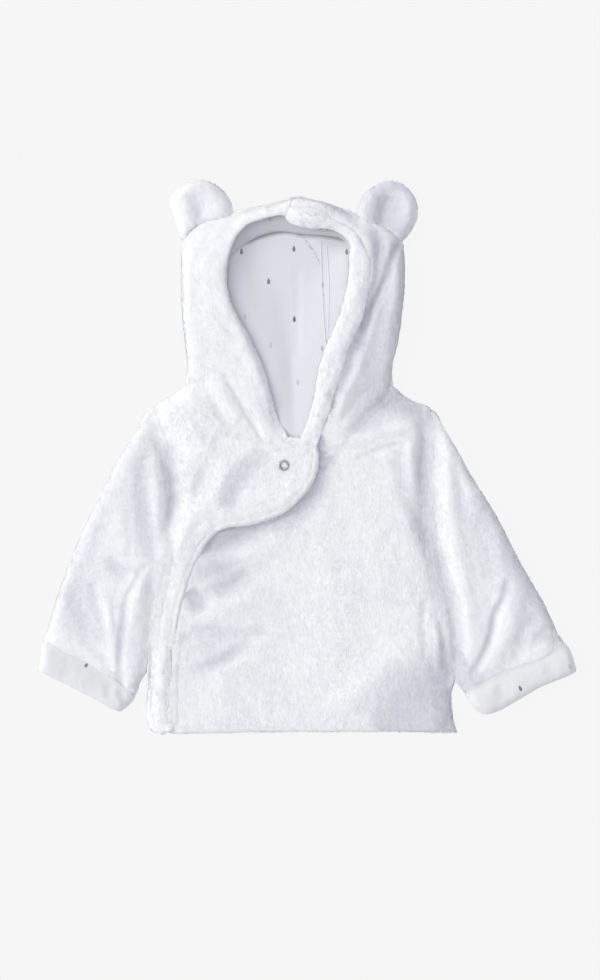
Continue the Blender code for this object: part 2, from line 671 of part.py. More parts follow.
def make_hood_lining(name, half):
    """Jersey on the inner face of a hood half, up into its side fold."""
    steps = UNDER_STEPS + LINING_TURN_STEPS

    def place(point):
        station = round(point.x * steps)
        depth = FLEECE + GAP + (LINING if point.z > 0.5 else 0.0)
        return half.place(station, point.y, depth)
    add_piece(name, slab(steps, HOOD_ROWS), place, jersey(name))


def make_hood_facing(half):
    """The lining turned out along the wearer's left rim and over the top, as a soft roll."""
    around = 10
    tuck_height = FLEECE - 2.0 * GAP        # pressed flat where it runs under the flap

    def place(point):
        v = point.z
        angle = 2.0 * math.pi * turn_share(point, around) / around
        rim = half.over_sheet(1.0, v)
        inward = half.over_sheet(1.0, v) - half.over_sheet(0.9, v)
        ahead = half.rim(min(v + 0.02, 1.0)) - half.rim(max(v - 0.02, 0.0))
        square = square_to(inward, ahead)
        narrowing = smoothstep((v - 0.5) / 0.35)
        half_width = lerp(FACE_ROLL_HALF_WIDTH, FACE_ROLL_CROWN_HALF_WIDTH, narrowing)
        across = GAP + half_width * (1.0 - math.cos(angle))
        x, y = rim + square * across
        top = half.top_at(1.0, v, *rim)
        height = lerp(tuck_height, FACE_ROLL_HEIGHT, smoothstep(v / 0.16))
        middle = lerp(top - FLEECE / 2.0, top - 1.0, smoothstep(v / 0.16))
        return x, y, middle + height * math.sin(angle) / 2.0
    add_piece("hood_facing", rod(around, HOOD_ROWS), place, jersey("hood_facing"))


def make_ear(name, half, base, side, top, end, creases):
    """An ear of two layers sewn round and turned: thick in the middle, thin at its round edge."""
    spans = len(HOOD_RIGHT) - 1
    base_curve = stretch_of(half.fold, base[0] / spans, base[1] / spans)
    side_curve, top_curve, end_curve = smooth_curve(side), smooth_curve(top), smooth_curve(end)
    sheet = patch(base_curve, top_curve, side_curve, end_curve)
    rim = samples(side_curve, top_curve, end_curve)

    def place(point):
        u, v = point.x, point.y
        x, y = inset(sheet, u, v, 0.0, GAP if v < 0.001 else 0.0)
        near = min(distance_to(rim, x, y) / EAR_ROUNDING, 1.0)
        dome = math.sqrt(1.0 - (1.0 - near) ** 2)
        low = 3.0 * (1.0 - dome)
        high = lerp(low + 2.4, EAR_HEIGHT, dome) + dome * fold_height(creases, x, y)
        return x, y, high if point.z < 0.5 else low
    add_piece(name, slab(9, 8), place, fleece(name))


# ---------------------------------------------------------------- snap

def make_snap():
    """A turned metal ring with a rounded rim, seated on the overlapping front."""
    seat = flap_under(*SNAP_PLACE) + FLEECE + GAP
    middle = (SNAP_OUTER_RADIUS + SNAP_INNER_RADIUS) / 2.0
    profile = [(SNAP_INNER_RADIUS, 0.0), (SNAP_INNER_RADIUS, SNAP_HEIGHT * 0.6), (middle, SNAP_HEIGHT),
               (SNAP_OUTER_RADIUS, SNAP_HEIGHT * 0.5), (SNAP_OUTER_RADIUS, 0.0)]
    mesh = bmesh.new()
    verts = [mesh.verts.new((radius * MM, 0.0, height * MM)) for radius, height in profile]
    edges = [mesh.edges.new((verts[i], verts[(i + 1) % len(verts)])) for i in range(len(verts))]
    bmesh.ops.spin(mesh, geom=verts + edges, cent=(0, 0, 0), axis=(0, 0, 1), angle=2 * math.pi,
                   steps=24, use_merge=True)
    bmesh.ops.remove_doubles(mesh, verts=mesh.verts, dist=0.00001)
    mesh.normal_update()
    bmesh.ops.recalc_face_normals(mesh, faces=mesh.faces)
    data = bpy.data.meshes.new("snap")
    mesh.to_mesh(data)
    mesh.free()
    data.shade_smooth()
    data.set_sharp_from_angle(angle=math.radians(40))
    data.materials.append(make_material("metal_snap", METAL_COLOUR, 0.35, 1.0))
    snap = bpy.data.objects.new("snap", data)
    snap.location = (SNAP_PLACE[0] * MM, SNAP_PLACE[1] * MM, seat * MM)
    jacket.objects.link(snap)


# ---------------------------------------------------------------- the jacket

make_back()
make_front_left()
make_front_right()
make_front_facing()
make_back_lining()

make_sleeve("sleeve_right", armhole_right, SLEEVE_OUTER_RIGHT, SLEEVE_INNER_RIGHT, CUFF_TOP_RIGHT,
            SLEEVE_RIGHT_FOLDS)
make_sleeve("sleeve_left", armhole_left, SLEEVE_OUTER_LEFT, SLEEVE_INNER_LEFT, CUFF_TOP_LEFT,
            SLEEVE_LEFT_FOLDS)
make_cuff("cuff_right", CUFF_TOP_RIGHT, CUFF_END_RIGHT, CUFF_OUTER_RIGHT, CUFF_INNER_RIGHT)
make_cuff("cuff_left", CUFF_TOP_LEFT, CUFF_END_LEFT, CUFF_OUTER_LEFT, CUFF_INNER_LEFT)

neck_to_v = knot_share(NECK_FRONT_RIGHT, V_KNOT)
hood_right_half = HoodHalf(HOOD_RIGHT, neck_back_right, stretch_of(neck_front_right, 0.0, neck_to_v),
                           flap_under, RIM_HEIGHT_RIGHT, HOOD_RIGHT_FOLDS)
hood_left_half = HoodHalf(HOOD_LEFT, neck_back_left, backwards(neck_front_left), underlap_under,
                          RIM_HEIGHT_LEFT, HOOD_LEFT_FOLDS)
make_hood_half("hood_right", hood_right_half)
make_hood_half("hood_left", hood_left_half)
make_hood_lining("hood_lining_right", hood_right_half)
make_hood_lining("hood_lining_left", hood_left_half)
make_hood_facing(hood_left_half)

make_ear("ear_right", hood_right_half, EAR_BASE_RIGHT, EAR_SIDE_RIGHT, EAR_TOP_RIGHT,
         EAR_END_RIGHT, EAR_RIGHT_CREASE)
make_ear("ear_left", hood_left_half, EAR_BASE_LEFT, EAR_SIDE_LEFT, EAR_TOP_LEFT, EAR_END_LEFT,
         EAR_LEFT_CREASE)
make_snap()
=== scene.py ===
# %% [markdown]
# # A plush baby jacket with a hood and two ears
#
# The jacket lies on its back on a pale table and the camera looks straight down at it. It is
# sewn from white plush, a knit with a deep soft pile, and it is lined with a thin jersey that has
# a small grey drop print. The lining shows in the hood and on the turned-back cuffs, and a few of
# its drops show faintly on the two rolled edges.
#
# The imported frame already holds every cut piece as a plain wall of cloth. The cells below take
# those walls and give them what a camera sees: rounder edges, the finer creases, the pile, the
# knit and the print.

# %% The frame that the pieces are built on
import math

import bmesh
import bpy
import numpy as np
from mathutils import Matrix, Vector
from mathutils.bvhtree import BVHTree
from mathutils.kdtree import KDTree


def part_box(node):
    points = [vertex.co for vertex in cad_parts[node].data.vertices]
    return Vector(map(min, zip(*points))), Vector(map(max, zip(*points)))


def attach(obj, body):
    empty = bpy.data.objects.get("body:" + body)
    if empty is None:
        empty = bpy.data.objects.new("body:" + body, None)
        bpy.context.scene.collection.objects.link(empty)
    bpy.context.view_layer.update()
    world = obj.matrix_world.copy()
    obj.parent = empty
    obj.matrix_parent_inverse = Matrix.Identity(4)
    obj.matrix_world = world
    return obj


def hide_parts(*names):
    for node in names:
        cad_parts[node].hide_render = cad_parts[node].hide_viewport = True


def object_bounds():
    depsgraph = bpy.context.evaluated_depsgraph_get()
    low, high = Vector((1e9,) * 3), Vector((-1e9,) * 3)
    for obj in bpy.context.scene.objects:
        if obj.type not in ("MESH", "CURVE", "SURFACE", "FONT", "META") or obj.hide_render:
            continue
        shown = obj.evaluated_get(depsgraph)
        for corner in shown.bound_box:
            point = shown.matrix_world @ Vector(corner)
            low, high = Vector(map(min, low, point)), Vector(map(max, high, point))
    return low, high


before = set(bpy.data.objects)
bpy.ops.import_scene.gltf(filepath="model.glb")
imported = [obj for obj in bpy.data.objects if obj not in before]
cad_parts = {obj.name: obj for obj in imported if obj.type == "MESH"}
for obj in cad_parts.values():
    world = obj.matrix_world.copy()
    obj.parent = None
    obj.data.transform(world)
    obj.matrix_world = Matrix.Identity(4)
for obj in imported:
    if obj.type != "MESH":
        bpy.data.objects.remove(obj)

cad_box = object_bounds()
MM = 0.001
box_in_mm = [round(value / MM, 1) for corner in cad_box for value in corner]
print("nodes:", len(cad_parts), "box in mm:", box_in_mm)

# %% [markdown]
# ## Helpers
#
# Every piece is a mesh that is put in the scene under a name, and every finish is a small tree of
# shader nodes. Both are made in the same few steps, which these helpers hold.

# %% Putting things in the scene


def put(name, data):
    """Puts a new object with this data in the scene."""
    placed = bpy.data.objects.new(name, data)
    bpy.context.scene.collection.objects.link(placed)
    return placed


def data_of(mesh, name, material=None):
    """Turns a mesh under construction into the data of a smooth piece."""
    data = bpy.data.meshes.new(name)
    mesh.to_mesh(data)
    mesh.free()
    data.shade_smooth()
    if material is not None:
        data.materials.append(material)
    return data


# %% A small helper for shader trees


class Tree:
    """Adds nodes to a node tree and wires them, so that a recipe reads from top to bottom."""

    def __init__(self, tree):
        self.tree = tree

    def link(self, output, socket):
        self.tree.links.new(output, socket)

    def add(self, kind, inputs=None, **settings):
        node = self.tree.nodes.new(kind)
        for name, value in settings.items():
            setattr(node, name, value)
        for name, value in (inputs or {}).items():
            if isinstance(value, bpy.types.NodeSocket):
                self.link(value, node.inputs[name])
            else:
                node.inputs[name].default_value = value
        return node

    def group(self, group, inputs):
        return self.add("ShaderNodeGroup", inputs, node_tree=group).outputs

    def math(self, operation, *values):
        return self.add("ShaderNodeMath", dict(enumerate(values)), operation=operation).outputs[0]

    def mix(self, factor, first, second, blend_type="MIX"):
        inputs = {"Factor": factor, 6: first, 7: second}
        return self.add("ShaderNodeMix", inputs, data_type="RGBA", blend_type=blend_type).outputs[2]

    def ramp(self, value, low, high, to_low=0.0, to_high=1.0):
        inputs = {"Value": value, "From Min": low, "From Max": high, "To Min": to_low, "To Max": to_high}
        return self.add("ShaderNodeMapRange", inputs, interpolation_type="SMOOTHSTEP").outputs["Result"]

    def bump(self, height, strength, distance):
        inputs = {"Height": height, "Strength": strength, "Distance": distance}
        return self.add("ShaderNodeBump", inputs).outputs[0]

    def place(self):
        return self.add("ShaderNodeTexCoord").outputs["Object"]


def set_sockets(node, values):
    """Sets the sockets of a node by their names."""
    for name, value in values.items():
        node.inputs[name].default_value = value


def material_with_shader(name):
    material = bpy.data.materials.new(name)
    material.use_nodes = True
    return material, Tree(material.node_tree), material.node_tree.nodes["Principled BSDF"]


# %% [markdown]
# ## Where the camera stands
#
# The photograph is a cut-out seen from straight above. A jacket of this size is about 280 mm
# from shoulder to hem, which makes one pixel of the photograph 0.84 mm. A long lens far away
# keeps the sleeves from leaning outwards, as a studio camera on a column would.

# %% The camera
PIXEL = 0.84 * MM                   # one pixel of the photograph, on the jacket
PHOTO_WIDTH, PHOTO_HEIGHT = 600, 980
ORIGIN_PIXEL = (307.5, 456.5)       # where the frame's origin is in the photograph
LENS = 100.0
SENSOR = 36.0

camera_data = bpy.data.cameras.new("camera")
camera_data.lens = LENS
camera_data.sensor_width = SENSOR
camera = put("camera", camera_data)
from_origin = (PHOTO_WIDTH / 2 - ORIGIN_PIXEL[0], ORIGIN_PIXEL[1] - PHOTO_HEIGHT / 2, 0.0)
view_centre = Vector(from_origin) * PIXEL
camera_height = PHOTO_HEIGHT * PIXEL * LENS / SENSOR
camera.location = view_centre + Vector((0.0, 0.0, camera_height))
bpy.context.scene.camera = camera
print("camera height in metres:", round(camera_height, 3))

# %% [markdown]
# ## Table and light
#
# The cut-out has no shadow and the same pale grey all round. A table that mostly glows in that
# grey and reflects a little gives the same even ground, and still shows a breath of shadow under
# the cloth. A low, soft sun from the left models the folds. The room is a little brighter on that
# side too, as beside a window, and its cool light fills the shaded sides.

# %% Table and light
GROUND = 0.923                      # the linear grey of the ground in the photograph
TABLE_REFLECTS = 0.035
TABLE_SIZE = 6.0
TABLE_DROP = 0.2 * MM               # the table lies this far under the cloth
ROOM_STRENGTH = 0.82
ROOM_COLOUR = (0.93, 0.935, 0.995)
WINDOW_SIDE = (-0.90, 0.30, 0.30)   # the room is brighter there, and as much darker on the other side
WINDOW_SHARE = 0.30
KEY_POWER = 1.5
KEY_COLOUR = (1.0, 0.985, 0.875)
KEY_ANGLE = math.radians(30)
KEY_FROM = Vector((-0.87, 0.20, 0.52))

table_material, recipe, shader = material_with_shader("pale_table")
set_sockets(shader, {"Base Color": (TABLE_REFLECTS, TABLE_REFLECTS, TABLE_REFLECTS, 1.0), "Roughness": 1.0,
                     "Specular IOR Level": 0.0, "Emission Color": (1.0, 1.0, 1.0, 1.0),
                     "Emission Strength": GROUND - TABLE_REFLECTS})
table_mesh = bmesh.new()
bmesh.ops.create_grid(table_mesh, x_segments=1, y_segments=1, size=TABLE_SIZE / 2)
table = put("table", data_of(table_mesh, "table", table_material))
table.location.z = -TABLE_DROP

key_data = bpy.data.lights.new("key", "SUN")
key_data.angle = KEY_ANGLE
key_data.energy = KEY_POWER
key_data.color = KEY_COLOUR
key = put("key", key_data)
key.location = KEY_FROM
key.rotation_euler = (-KEY_FROM).to_track_quat("-Z", "Y").to_euler()

# %% The room, which the camera sees as the same grey as the table
room = bpy.data.worlds.new("room")
bpy.context.scene.world = room
room.use_nodes = True
recipe = Tree(room.node_tree)
toward = recipe.add("ShaderNodeTexCoord").outputs["Generated"]
side = recipe.add("ShaderNodeVectorMath", {0: toward, 1: WINDOW_SIDE}, operation="DOT_PRODUCT")
level = recipe.add("ShaderNodeMapRange", {
    "Value": side.outputs["Value"], "From Min": -1.0,
    "To Min": ROOM_STRENGTH * (1.0 - WINDOW_SHARE), "To Max": ROOM_STRENGTH * (1.0 + WINDOW_SHARE)})
fill = room.node_tree.nodes["Background"]
set_sockets(fill, {"Color": (*ROOM_COLOUR, 1.0)})
recipe.link(level.outputs["Result"], fill.inputs["Strength"])
seen = recipe.add("ShaderNodeBackground", {"Color": (GROUND, GROUND, GROUND, 1.0)})
by_camera = recipe.add("ShaderNodeLightPath").outputs["Is Camera Ray"]
both = recipe.add("ShaderNodeMixShader", {"Fac": by_camera, 1: fill.outputs["Background"],
                                          2: seen.outputs["Background"]})
recipe.link(both.outputs["Shader"], room.node_tree.nodes["World Output"].inputs["Surface"])
bpy.context.scene.view_settings.view_transform = "Standard"
print("studio ready")

# %% [markdown]
# ## Shared shader groups
#
# Two effects are used by more than one material. The first is a soft unevenness of colour and
# height, at a size that the material chooses. The second is the print: teardrops in a half-drop
# repeat, where every second column is shifted by half a period, as on many small prints.

# %% An empty group


def new_group(name, inputs, outputs):
    """An empty shader group with named sockets: name to socket kind and default."""
    group = bpy.data.node_groups.new(name, "ShaderNodeTree")
    for socket_name, (kind, default) in inputs.items():
        socket = group.interface.new_socket(socket_name, in_out="INPUT", socket_type=kind)
        if default is not None:
            socket.default_value = default
    for socket_name, kind in outputs.items():
        group.interface.new_socket(socket_name, in_out="OUTPUT", socket_type=kind)
    start = group.nodes.new("NodeGroupInput")
    end = group.nodes.new("NodeGroupOutput")
    return group, Tree(group), start.outputs, end.inputs


FLOAT, COLOUR, VECTOR = "NodeSocketFloat", "NodeSocketColor", "NodeSocketVector"

# %% The group for soft unevenness
WHITE, PALE = (1.0, 1.0, 1.0, 1.0), (0.8, 0.8, 0.8, 1)
FINER = 6.0                         # how much finer the second noise is than the first
FINE_SHARE = 0.5
PATCH_STEP = (0.35, 0.65)           # between these values of the noise the shade turns to light
uneven, recipe, given, result = new_group(
    "soft_unevenness",
    {"Place": (VECTOR, None), "Size": (FLOAT, 8.0), "Light": (COLOUR, WHITE), "Shade": (COLOUR, PALE)},
    {"Colour": COLOUR, "Height": FLOAT})
broad_scale = recipe.math("DIVIDE", 1000.0, given["Size"])
fine_scale = recipe.math("MULTIPLY", broad_scale, FINER)
broad, fine = [
    recipe.add("ShaderNodeTexNoise", {"Vector": given["Place"], "Scale": scale, **settings}).outputs[0]
    for scale, settings in ((broad_scale, {"Detail": 3.0, "Roughness": 0.6}), (fine_scale, {"Detail": 2.0}))]
mixed = recipe.mix(recipe.ramp(broad, *PATCH_STEP), given["Shade"], given["Light"])
recipe.link(mixed, result["Colour"])
recipe.link(recipe.math("ADD", broad, recipe.math("MULTIPLY", fine, FINE_SHARE)), result["Height"])

# %% The group for the drop print
DROP_COLUMN = 21.5 * MM
DROP_PERIOD = 54.0 * MM
DROP_HALF_WIDTH = 1.5 * MM
DROP_HALF_LENGTH = 3.1 * MM
DROP_FULLNESS = 0.7                 # how wide the body of a drop is drawn
DROP_SOFT_EDGE = 0.25
DROPS_FAINT = 0.35                  # the share of the drops that are faintest
DROP_STRENGTHS = (0.22, 0.95)       # the strength of the faintest and of the darkest drop
DROP_STRAY = 0.10                   # over what range a drop strays from its place, as a share of the period

drops, recipe, given, result = new_group("drop_print", {"Place": (VECTOR, None)}, {"Ink": FLOAT})
place = recipe.add("ShaderNodeSeparateXYZ", {"Vector": given["Place"]})
column_at = recipe.math("DIVIDE", place.outputs["X"], DROP_COLUMN)
column = recipe.math("ROUND", column_at)
half_drop = recipe.math("MULTIPLY", recipe.math("FLOORED_MODULO", column, 2.0), 0.5)
row_at = recipe.math("ADD", recipe.math("DIVIDE", place.outputs["Y"], DROP_PERIOD), half_drop)
row = recipe.math("ROUND", row_at)
cell = recipe.add("ShaderNodeCombineXYZ", {"X": column, "Y": row}).outputs[0]
chance = recipe.add("ShaderNodeTexWhiteNoise", {"Vector": cell}, noise_dimensions="3D").outputs["Color"]
stray = recipe.add("ShaderNodeSeparateColor", {"Color": chance}).outputs


def from_middle(at, middle, size, by_chance, half_size):
    """How far a place is from the middle of its drop, as a share of half the drop's size."""
    in_cell = recipe.math("MULTIPLY", recipe.math("SUBTRACT", at, middle), size)
    strayed = recipe.math("MULTIPLY", recipe.math("SUBTRACT", by_chance, 0.5), DROP_STRAY * DROP_PERIOD)
    return recipe.math("DIVIDE", recipe.math("ADD", in_cell, strayed), half_size)


u = from_middle(column_at, column, DROP_COLUMN, stray[0], DROP_HALF_WIDTH)
v = from_middle(row_at, row, DROP_PERIOD, stray[1], DROP_HALF_LENGTH)
# A teardrop: round at one end and tapering to the other
round_end = recipe.math("SUBTRACT", 1.0, recipe.math("MULTIPLY", v, v))
body = recipe.math("MULTIPLY", round_end, recipe.math("SUBTRACT", 1.0, v))
edge = recipe.math("SUBTRACT", recipe.math("MULTIPLY", body, DROP_FULLNESS), recipe.math("MULTIPLY", u, u))
in_length = recipe.math("LESS_THAN", recipe.math("ABSOLUTE", v), 1.0)
shape = recipe.math("MULTIPLY", recipe.ramp(edge, 0.0, DROP_SOFT_EDGE), in_length)
strength = recipe.ramp(stray[2], DROPS_FAINT, 1.0, *DROP_STRENGTHS)
recipe.link(recipe.math("MULTIPLY", shape, strength), result["Ink"])
print("shader groups:", [group.name for group in bpy.data.node_groups])

# %% [markdown]
# ## The plush
#
# Plush is almost pure white, yet it never looks like paint: light sinks into the pile, the
# hollows turn a little blue and the tips catch the light. The colour comes from the group above,
# with a wide soft size, and a fine bump stands for the single fibres between the modelled tufts.
# A share kept on the points also paints a bluish grey shade into the colour, in hollows, under the
# flap and on sides turned from the light.

# %% The finish of the plush
DROP_INK = (0.13, 0.14, 0.17, 1.0)
PRINT_ORIGIN = (-32.0 * MM, 145.0 * MM)
PLUSH_LIGHT = (0.93, 0.935, 0.95, 1.0)
PLUSH_SHADE = (0.90, 0.905, 0.93, 1.0)
PLUSH_PAINTED_SHADE = (0.695, 0.697, 0.762, 1.0)   # painted shade, bluish grey, for hollows, the pocket under the flap and sides turned from the light
PLUSH_PATCH = 26.0                  # in millimetres
PLUSH_CLUMP = 5.0                   # in millimetres
PLUSH_FIBRE = 3.0                   # in millimetres
FIBRE_STRETCH = (1.0, 0.45, 1.0)    # the fibres lie along the body
FIBRE_BUMP = 0.6 * MM
CLUMP_SHADE = (0.955, 0.957, 0.965, 1.0)


def print_drops(recipe, place, colour, share):
    """Mixes the drop print over a colour."""
    back_to_origin = (-PRINT_ORIGIN[0], -PRINT_ORIGIN[1], 0.0)
    on_cloth = recipe.add("ShaderNodeVectorMath", {0: place, 1: back_to_origin}, operation="ADD").outputs[0]
    ink = recipe.math("MULTIPLY", recipe.group(drops, {"Place": on_cloth})["Ink"], share)
    return recipe.mix(ink, colour, DROP_INK)


def make_plush(name, bump, ink_share=0.0):
    material, recipe, shader = material_with_shader(name)
    place = recipe.place()
    patches = {"Place": place, "Size": PLUSH_PATCH, "Light": PLUSH_LIGHT, "Shade": PLUSH_SHADE}
    soft = recipe.group(uneven, patches)
    # Painted shade: a share stored on the points turns the colour bluish grey where shade falls
    painted_shade = recipe.add("ShaderNodeAttribute", attribute_name="painted_shade").outputs["Fac"]
    with_painted_shade = recipe.mix(painted_shade, soft["Colour"], PLUSH_PAINTED_SHADE)
    clumps = recipe.group(uneven, {"Place": place, "Size": PLUSH_CLUMP, "Light": WHITE, "Shade": CLUMP_SHADE})
    colour = recipe.mix(1.0, with_painted_shade, clumps["Colour"], "MULTIPLY")
    if ink_share:
        colour = print_drops(recipe, place, colour, ink_share)
    recipe.link(colour, shader.inputs["Base Color"])
    stretched = recipe.add("ShaderNodeMapping", {"Vector": place, "Scale": FIBRE_STRETCH}).outputs[0]
    fibres = recipe.group(uneven, {"Place": stretched, "Size": PLUSH_FIBRE})
    recipe.link(recipe.bump(fibres["Height"], bump, FIBRE_BUMP), shader.inputs["Normal"])
    set_sockets(shader, {"Roughness": 0.95, "Specular IOR Level": 0.15, "Sheen Weight": 0.25,
                         "Sheen Roughness": 0.5})
    return material


plush = make_plush("plush", 0.6)
rolled_plush = make_plush("rolled_plush", 0.5, ink_share=0.35)

# %% [markdown]
# The lining is a fine jersey. The ridges of its knit are hardly wider than a pixel of the
# photograph, so they are a bump. The print is mixed in by the group above, and a Mapping node
# shifts it into place and turns it along the cuffs.

# %% The lining
LINING_WHITE = (0.745, 0.75, 0.762, 1.0)
LINING_GREY_PAINTED_SHADE = (0.71, 0.71, 0.757, 1.0)    # painted shade: deep in the hood the same jersey is painted greyer
LINING_TURNED_PAINTED_SHADE = (0.55, 0.55, 0.59, 1.0)   # painted shade: where it faces down, under the crown, it is painted darker still
# painted shadow, mixed in by the stored share under the turned-in band
LINING_PAINTED_SHADOW = (0.30, 0.30, 0.34, 1.0)
RIDGE = 1.1                         # how wide a ridge of the knit is, in millimetres
WAVE_HALVES = 6.3                   # about how many half waves the wave texture makes over one unit
JERSEY_PATCH = 30.0                 # in millimetres
JERSEY_SHADE = 0.975
JERSEY_BUMP = 0.3 * MM


def make_jersey(name, colour, origin=PRINT_ORIGIN, turn=0.0):
    material, recipe, shader = material_with_shader(name)
    place = recipe.place()
    shade = tuple(value * JERSEY_SHADE for value in colour[:3]) + (1.0,)
    soft = recipe.group(uneven, {"Place": place, "Size": JERSEY_PATCH, "Light": colour, "Shade": shade})
    settings = {"Vector": place, "Location": (*origin, 0.0), "Rotation": (0.0, 0.0, turn)}
    on_cloth = recipe.add("ShaderNodeMapping", settings, vector_type="TEXTURE").outputs[0]
    # Painted shadow: the stored share turns the colour dark under the band at the crown
    painted_shadow = recipe.add("ShaderNodeAttribute", attribute_name="painted_shade").outputs["Fac"]
    shaded = recipe.mix(painted_shadow, soft["Colour"], LINING_PAINTED_SHADOW)
    inked = recipe.mix(recipe.group(drops, {"Place": on_cloth})["Ink"], shaded, DROP_INK)
    recipe.link(inked, shader.inputs["Base Color"])
    waves = {"Vector": on_cloth, "Scale": 1000.0 / RIDGE / WAVE_HALVES, "Distortion": 1.2, "Detail": 1.0}
    wales = recipe.math("MULTIPLY", recipe.add("ShaderNodeTexWave", waves).outputs["Fac"], 0.5)
    knit = recipe.math("ADD", wales, soft["Height"])
    recipe.link(recipe.bump(knit, 0.15, JERSEY_BUMP), shader.inputs["Normal"])
    set_sockets(shader, {"Roughness": 0.88, "Specular IOR Level": 0.2, "Sheen Weight": 0.1})
    return material


CUFF_TURN_RIGHT = math.radians(-28)
CUFF_TURN_LEFT = math.radians(27)
# The hood's jersey and the turned-in band are the same jersey with painted shade, greyer and darker
lining = make_jersey("jersey_hood_painted_shade", LINING_GREY_PAINTED_SHADE)
lining_turned_painted_shade = make_jersey("jersey_turned_painted_shade", LINING_TURNED_PAINTED_SHADE)
lining_cuff_right = make_jersey("jersey_cuff_right", LINING_WHITE, (-185 * MM, -176 * MM), CUFF_TURN_RIGHT)
lining_cuff_left = make_jersey("jersey_cuff_left", LINING_WHITE, (179 * MM, -195 * MM), CUFF_TURN_LEFT)
print("materials:", [material.name for material in bpy.data.materials])

# %% [markdown]
# ## Soft noise and creases
#
# Cloth is never even. `soft_noise` fills space with smooth random values, the same ones each
# time, and the creases below are placed where the photograph shows them. A crease is a
# few points that a smooth line follows, how wide it is to each side, and how high it stands: a
# ridge is positive and a trough is negative. It runs out at both ends.

# %% Noise, steps and boxes for arrays of points
LATTICE = 32


def soft_noise(points, size, seed):
    """A smooth random value from -1 to 1 for each point, changing over about the given size."""
    values = np.random.default_rng(seed).uniform(-1.0, 1.0, (LATTICE, LATTICE, LATTICE))
    at = points / size + 100.0
    corner = np.floor(at).astype(int)
    t = at - corner
    t = t * t * (3.0 - 2.0 * t)
    total = np.zeros(len(points))
    for dx in (0, 1):
        for dy in (0, 1):
            for dz in (0, 1):
                share = np.abs(1 - dx - t[:, 0]) * np.abs(1 - dy - t[:, 1]) * np.abs(1 - dz - t[:, 2])
                x, y, z = ((corner + (dx, dy, dz)) % LATTICE).T
                total += share * values[x, y, z]
    return total


def smooth(value, low, high):
    """0 below low, 1 above high and a smooth step between them."""
    t = np.clip((value - low) / (high - low), 0.0, 1.0)
    return t * t * (3.0 - 2.0 * t)


def within(plan, places, margin):
    """Which points of the plan lie in the box round some places, or at most a margin outside it."""
    return np.all((plan > places.min(0) - margin) & (plan < places.max(0) + margin), axis=1)


# %% The creases of the wearer's right half, in millimetres
# The points (x, y) of the line, then the half width and the height
CREASES_RIGHT = [
    ([(-132, 34), (-122, 10), (-114, -12), (-110, -38), (-116, -66)], 8, -2.0),           # armhole
    ([(-128, 0), (-124, -30), (-122, -60), (-120, -90)], 9, 1.6),
    ([(-138, 0), (-136, -40), (-134, -84)], 11, -1.7),
    ([(-120, -60), (-123, -110), (-124, -170), (-126, -222)], 9, 1.2),
    ([(-100, 36), (-95, 22), (-90, 8)], 6, 1.0),                                          # shoulder
    ([(-110, 40), (-108, 20), (-104, 0)], 7, -0.8),
    ([(-86, 66), (-79, 48), (-73, 34), (-66, 26)], 5, -2.0),                              # hood
    ([(-69, 70), (-61, 55), (-53, 41), (-46, 30), (-38, 16)], 5, -2.4),
    ([(-52, 66), (-44, 46), (-36, 28)], 7, 1.2),
    ([(-74, 60), (-66, 44), (-58, 30)], 5, 1.0),
    ([(-10, 213), (-13, 202)], 5, -2.2),
    ([(-44, 188), (-60, 172), (-63, 150), (-60, 130), (-50, 108), (-38, 86), (-31, 62), (-25, 36), (-20, 16)],
     8, -4.0),
    ([(-50, 194), (-68, 178), (-73, 155), (-71, 134), (-60, 108), (-48, 84), (-41, 60), (-35, 36), (-29, 14)],
     9, 1.3),
    ([(-30, 7), (-46, -6), (-57, -18), (-62, -30), (-63, -46)], 14, -2.4),                # flap
    ([(-10, -28), (-32, -34), (-54, -38)], 12, 1.0),
    ([(-78, -56), (-52, -54), (-32, -49), (-14, -40), (0, -22)], 18, 2.6),
    ([(-6, 8), (-20, -10)], 14, 0.8),
    ([(-70, 20), (-78, 0), (-88, -24)], 9, -0.9),
    ([(-96, -10), (-100, -40), (-104, -66)], 9, 0.7),
    ([(-168, -84), (-158, -96), (-148, -104)], 9, -1.2),                                  # sleeve
    ([(-180, -106), (-176, -124), (-168, -140)], 8, -1.3),
    ([(-194, -108), (-189, -132), (-184, -152)], 13, -1.5),
    ([(-126, -86), (-136, -108), (-140, -134), (-141, -166), (-143, -194)], 12, 1.6),
    ([(-134, -90), (-149, -116), (-154, -146), (-156, -176), (-158, -204)], 6, -2.1),
    ([(-186, -152), (-172, -166), (-160, -184)], 6, -1.5),
    ([(-168, -120), (-164, -146), (-161, -168)], 6, 1.2),
    ([(-208, -104), (-208, -140)], 8, 1.0)]

